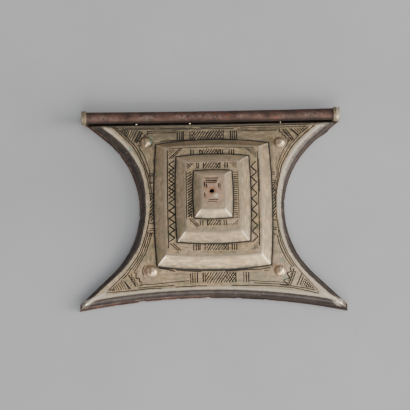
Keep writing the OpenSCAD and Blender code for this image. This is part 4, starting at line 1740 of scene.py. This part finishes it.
def build_solder(finish):
    """Small bright beads of solder in the gap between the tube and the face."""
    work = bmesh.new()
    for x, r in SOLDER:
        place = Matrix.Translation((x, SOLDER_Y, SOLDER_Z))
        squashed = place @ Matrix.Diagonal(SOLDER_STRETCH)
        bmesh.ops.create_icosphere(work, subdivisions=3, radius=r, matrix=squashed)
    points = np.array([v.co[:] for v in work.verts])
    faces = [tuple(v.index for v in f.verts) for f in work.faces]
    work.free()
    points = points + SOLDER_LUMPS * noise_at(points, 0.35, 30)[:, None]
    layers = plain_layers(points, worn=np.ones(len(points)))
    add_piece("solder_points", points, faces, rubbed_silver(finish), None, layers, 60)


# Stage

FLOOR_HALF = 1.6
FLOOR_Z = -0.02 * MM
SENSOR_W = 36.0

# Lights: name, place and size in metres, share of the stage's light power, colour
LIGHTS = table("Light", "name place size share colour", [
    ("soft_right", (1.13, -0.22, 0.29), (1.0, 0.54), 1.15, (1.0, 0.985, 0.96)),
    ("soft_front", (0.25, -1.15, 0.42), (1.6, 0.80), 0.88, (1.0, 0.99, 0.97)),
    ("soft_sky", (-0.05, 0.50, 1.10), (1.0, 0.9), 0.09, (0.98, 0.99, 1.0)),
])


def add_object(name, data, place=(0, 0, 0), target=None):
    """Puts an object into the scene, turned to face its target if it has one."""
    made = bpy.data.objects.new(name, data)
    made.location = place
    if target is not None:
        made.rotation_euler = (Vector(target) - made.location).to_track_quat("-Z", "Y").to_euler()
    bpy.context.scene.collection.objects.link(made)
    return made


def build_stage(stage):
    """A pale floor, soft lights and the camera."""
    floor = bpy.data.meshes.new("floor")
    signs = ((-1, -1), (1, -1), (1, 1), (-1, 1))
    floor.from_pydata([(a * FLOOR_HALF, b * FLOOR_HALF, FLOOR_Z) for a, b in signs], [], [(0, 1, 2, 3)])
    floor.materials.append(floor_material(stage))
    add_object("floor", floor)
    for light in LIGHTS:
        data = bpy.data.lights.new(light.name, "AREA")
        data.shape = "RECTANGLE"
        data.size, data.size_y = light.size
        data.energy = light.share * stage.light_power
        data.color = light.colour
        add_object(light.name, data, light.place, (0, 0, 0))
    world = bpy.data.worlds.new("studio")
    world.use_nodes = True
    background = world.node_tree.nodes["Background"].inputs
    background["Color"].default_value = rgba(stage.world_colour)
    background["Strength"].default_value = stage.world_strength
    bpy.context.scene.world = world
    data = bpy.data.cameras.new("camera")
    data.sensor_width = SENSOR_W
    data.lens = SENSOR_W * stage.camera_distance / stage.view_width
    data.clip_start = 0.05
    back = Vector((0, -math.cos(stage.camera_elevation), math.sin(stage.camera_elevation)))
    place = Vector(stage.camera_target) + back * stage.camera_distance
    camera = add_object("camera", data, place, stage.camera_target)
    camera.rotation_euler.rotate_axis("Z", -stage.camera_roll)
    bpy.context.scene.camera = camera


# Settings

def colour_setting(name, description, default):
    return FloatVectorProperty(name=name, description=description, default=default, subtype="COLOR", size=3,
                               min=0.0, max=1.0)


class AmuletFinish(bpy.types.PropertyGroup):
    """Colours and sheen of the amulet's metals."""

    silver: colour_setting("Silver", "Colour of the clean silver", (0.76, 0.55, 0.345))
    olive: colour_setting("Olive Tint", "Colour of thin tarnish on the silver", (0.45, 0.385, 0.225))
    straw: colour_setting("Straw Tint", "Colour of warm tarnish on the silver", (0.76, 0.51, 0.26))
    dull: colour_setting("Dull Streaks", "Colour of the dull streaks in the silver", (0.25, 0.19, 0.125))
    # The tarnish colour is also the painted shade on the lit slopes
    tarnish: colour_setting("Tarnish", "Colour of the tarnish over the flat parts", (0.235, 0.188, 0.12))
    rosy: colour_setting("Rosy Tint", "Colour where copper shows through the silver", (0.60, 0.37, 0.27))
    orange: colour_setting("Bare Copper", "Colour of the bare copper round the apex hole", (0.55, 0.26, 0.13))
    brown: colour_setting("Brown Stains", "Colour of the brown stains", (0.30, 0.18, 0.085))
    # Colour of the painted highlight lines
    shine: colour_setting("Bright Edge", "Colour of the brightest lines along the edge", (0.98, 0.87, 0.71))
    # The rubbed silver colour is also the colour of the painted light and highlights
    bright: colour_setting("Rubbed Silver", "Colour of the rubbed ridges", (0.94, 0.78, 0.57))
    # The dark edge colour is partly scale and partly painted shade
    edge: colour_setting("Dark Edge", "Colour of the scale on the rounded edge", (0.070, 0.052, 0.042))
    # The grime colour is also the colour of the painted shade on the slopes and of the tube's painted shadow
    dirt_and_painted_shade: colour_setting("Grime", "Colour of the dirt at the foot of each step", (0.085, 0.075, 0.055))
    # The engraved line colour also darkens the copper where shade is painted
    cut: colour_setting("Engraved Lines", "Colour at the bottom of each engraved line", (0.016, 0.012, 0.009))
    verdigris: colour_setting("Verdigris", "Colour of the green spots", (0.20, 0.36, 0.28))
    copper: colour_setting("Copper Back", "Colour of the oxidised copper back", (0.13, 0.075, 0.058))
    tube: colour_setting("Copper Tube", "Colour of the oxidised copper tube", (0.135, 0.074, 0.057))
    copper_dark: colour_setting("Copper Scale", "Colour of the darkest copper scale", (0.045, 0.032, 0.028))
    copper_grey: colour_setting("Copper Haze", "Colour of the grey haze on the copper", (0.22, 0.17, 0.14))
    copper_red: colour_setting("Red Copper", "Colour of the reddish copper", (0.27, 0.085, 0.045))
    # The rubbed copper colour also carries the painted highlight along the back's cut edge
    copper_bright: colour_setting("Rubbed Copper", "Colour of the rubbed copper edges", (0.52, 0.38, 0.31))
    metal: FloatProperty(name="Metal", description="How metallic the clean silver looks", default=0.85,
                         min=0.0, max=1.0, subtype="FACTOR")
    roughness: FloatProperty(name="Roughness", description="Roughness of the silver between its streaks",
                             default=0.30, min=0.05, max=0.9, subtype="FACTOR")


class AmuletStage(bpy.types.PropertyGroup):
    """Floor, light and camera."""

    floor_colour: colour_setting("Floor", "Colour of the floor", (0.56, 0.56, 0.565))
    world_colour: colour_setting("Surroundings", "Colour of the light from all round", (0.80, 0.82, 0.85))
    world_strength: FloatProperty(name="Surrounding Light", default=0.37, min=0.0, max=5.0,
                                  description="Strength of the light from all round")
    light_power: FloatProperty(name="Light Power", description="Power of the strongest light", default=20.0,
                               min=0.0, max=100.0, unit="POWER")
    camera_target: FloatVectorProperty(name="Camera Target", description="Point in the middle of the picture",
                                       default=(-2.37 * MM, 2.605 * MM, 0.0), size=3, subtype="TRANSLATION")
    camera_distance: FloatProperty(name="Camera Distance", description="From the camera to its target",
                                   default=1.2, min=0.2, max=5.0, unit="LENGTH")
    view_width: FloatProperty(name="View Width", description="Width of the picture at the target",
                              default=139.9 * MM, min=0.01, max=1.0, unit="LENGTH")
    camera_elevation: FloatProperty(name="Camera Elevation", default=math.radians(65), subtype="ANGLE",
                                    description="Height of the camera above the horizon",
                                    min=0.0, max=math.pi / 2)
    camera_roll: FloatProperty(name="Camera Roll", description="How far the amulet looks turned to the left",
                               default=math.radians(1.0), subtype="ANGLE")


class AMULET_OT_face(bpy.types.Operator):
    """Build the engraved silver face with its stepped pyramid"""

    bl_idname = "amulet.face"
    bl_label = "Engraved Face"

    def execute(self, context):
        build_face(context.scene.amulet_finish)
        return {"FINISHED"}


class AMULET_OT_back(bpy.types.Operator):
    """Build the copper back with its rim"""

    bl_idname = "amulet.copper_back"
    bl_label = "Copper Back"

    def execute(self, context):
        build_back(context.scene.amulet_finish)
        return {"FINISHED"}


class AMULET_OT_tube(bpy.types.Operator):
    """Build the hanging tube"""

    bl_idname = "amulet.hanging_tube"
    bl_label = "Hanging Tube"

    def execute(self, context):
        build_tube(context.scene.amulet_finish)
        return {"FINISHED"}


class AMULET_OT_collars(bpy.types.Operator):
    """Build the two collars on the tube's ends"""

    bl_idname = "amulet.collars"
    bl_label = "Collars"

    def execute(self, context):
        build_collars(context.scene.amulet_finish)
        return {"FINISHED"}


class AMULET_OT_studs(bpy.types.Operator):
    """Build the four domed studs"""

    bl_idname = "amulet.studs"
    bl_label = "Studs"

    def execute(self, context):
        build_studs(context.scene.amulet_finish)
        return {"FINISHED"}


class AMULET_OT_solder(bpy.types.Operator):
    """Build the beads of solder between the tube and the face"""

    bl_idname = "amulet.solder"
    bl_label = "Solder Points"

    def execute(self, context):
        build_solder(context.scene.amulet_finish)
        return {"FINISHED"}


class AMULET_OT_stage(bpy.types.Operator):
    """Build the floor, the lights and the camera"""

    bl_idname = "amulet.stage"
    bl_label = "Stage"

    def execute(self, context):
        build_stage(context.scene.amulet_stage)
        return {"FINISHED"}


OPERATORS = (AMULET_OT_stage, AMULET_OT_back, AMULET_OT_face, AMULET_OT_tube, AMULET_OT_collars,
             AMULET_OT_studs, AMULET_OT_solder)


class AMULET_PT_panel(bpy.types.Panel):
    """Lists the amulet's settings and its pieces"""

    bl_idname = "AMULET_PT_panel"
    bl_label = "Amulet Pendant"
    bl_space_type = "VIEW_3D"
    bl_region_type = "UI"
    bl_category = "Amulet"

    def draw(self, context):
        for settings in (context.scene.amulet_finish, context.scene.amulet_stage):
            box = self.layout.box()
            for name in settings.bl_rna.properties.keys():
                if name not in ("rna_type", "name"):
                    box.prop(settings, name)
        for operator in OPERATORS:
            self.layout.operator(operator.bl_idname)


CLASSES = (AmuletFinish, AmuletStage, *OPERATORS, AMULET_PT_panel)


def register():
    for cls in CLASSES:
        bpy.utils.register_class(cls)
    bpy.types.Scene.amulet_finish = PointerProperty(type=AmuletFinish)
    bpy.types.Scene.amulet_stage = PointerProperty(type=AmuletStage)


def unregister():
    del bpy.types.Scene.amulet_stage
    del bpy.types.Scene.amulet_finish
    for cls in reversed(CLASSES):
        bpy.utils.unregister_class(cls)


def main():
    register()
    bpy.ops.amulet.stage()
    bpy.ops.amulet.copper_back()
    bpy.ops.amulet.face()
    bpy.ops.amulet.hanging_tube()
    bpy.ops.amulet.collars()
    bpy.ops.amulet.studs()
    bpy.ops.amulet.solder()


if __name__ == "__main__":
    main()
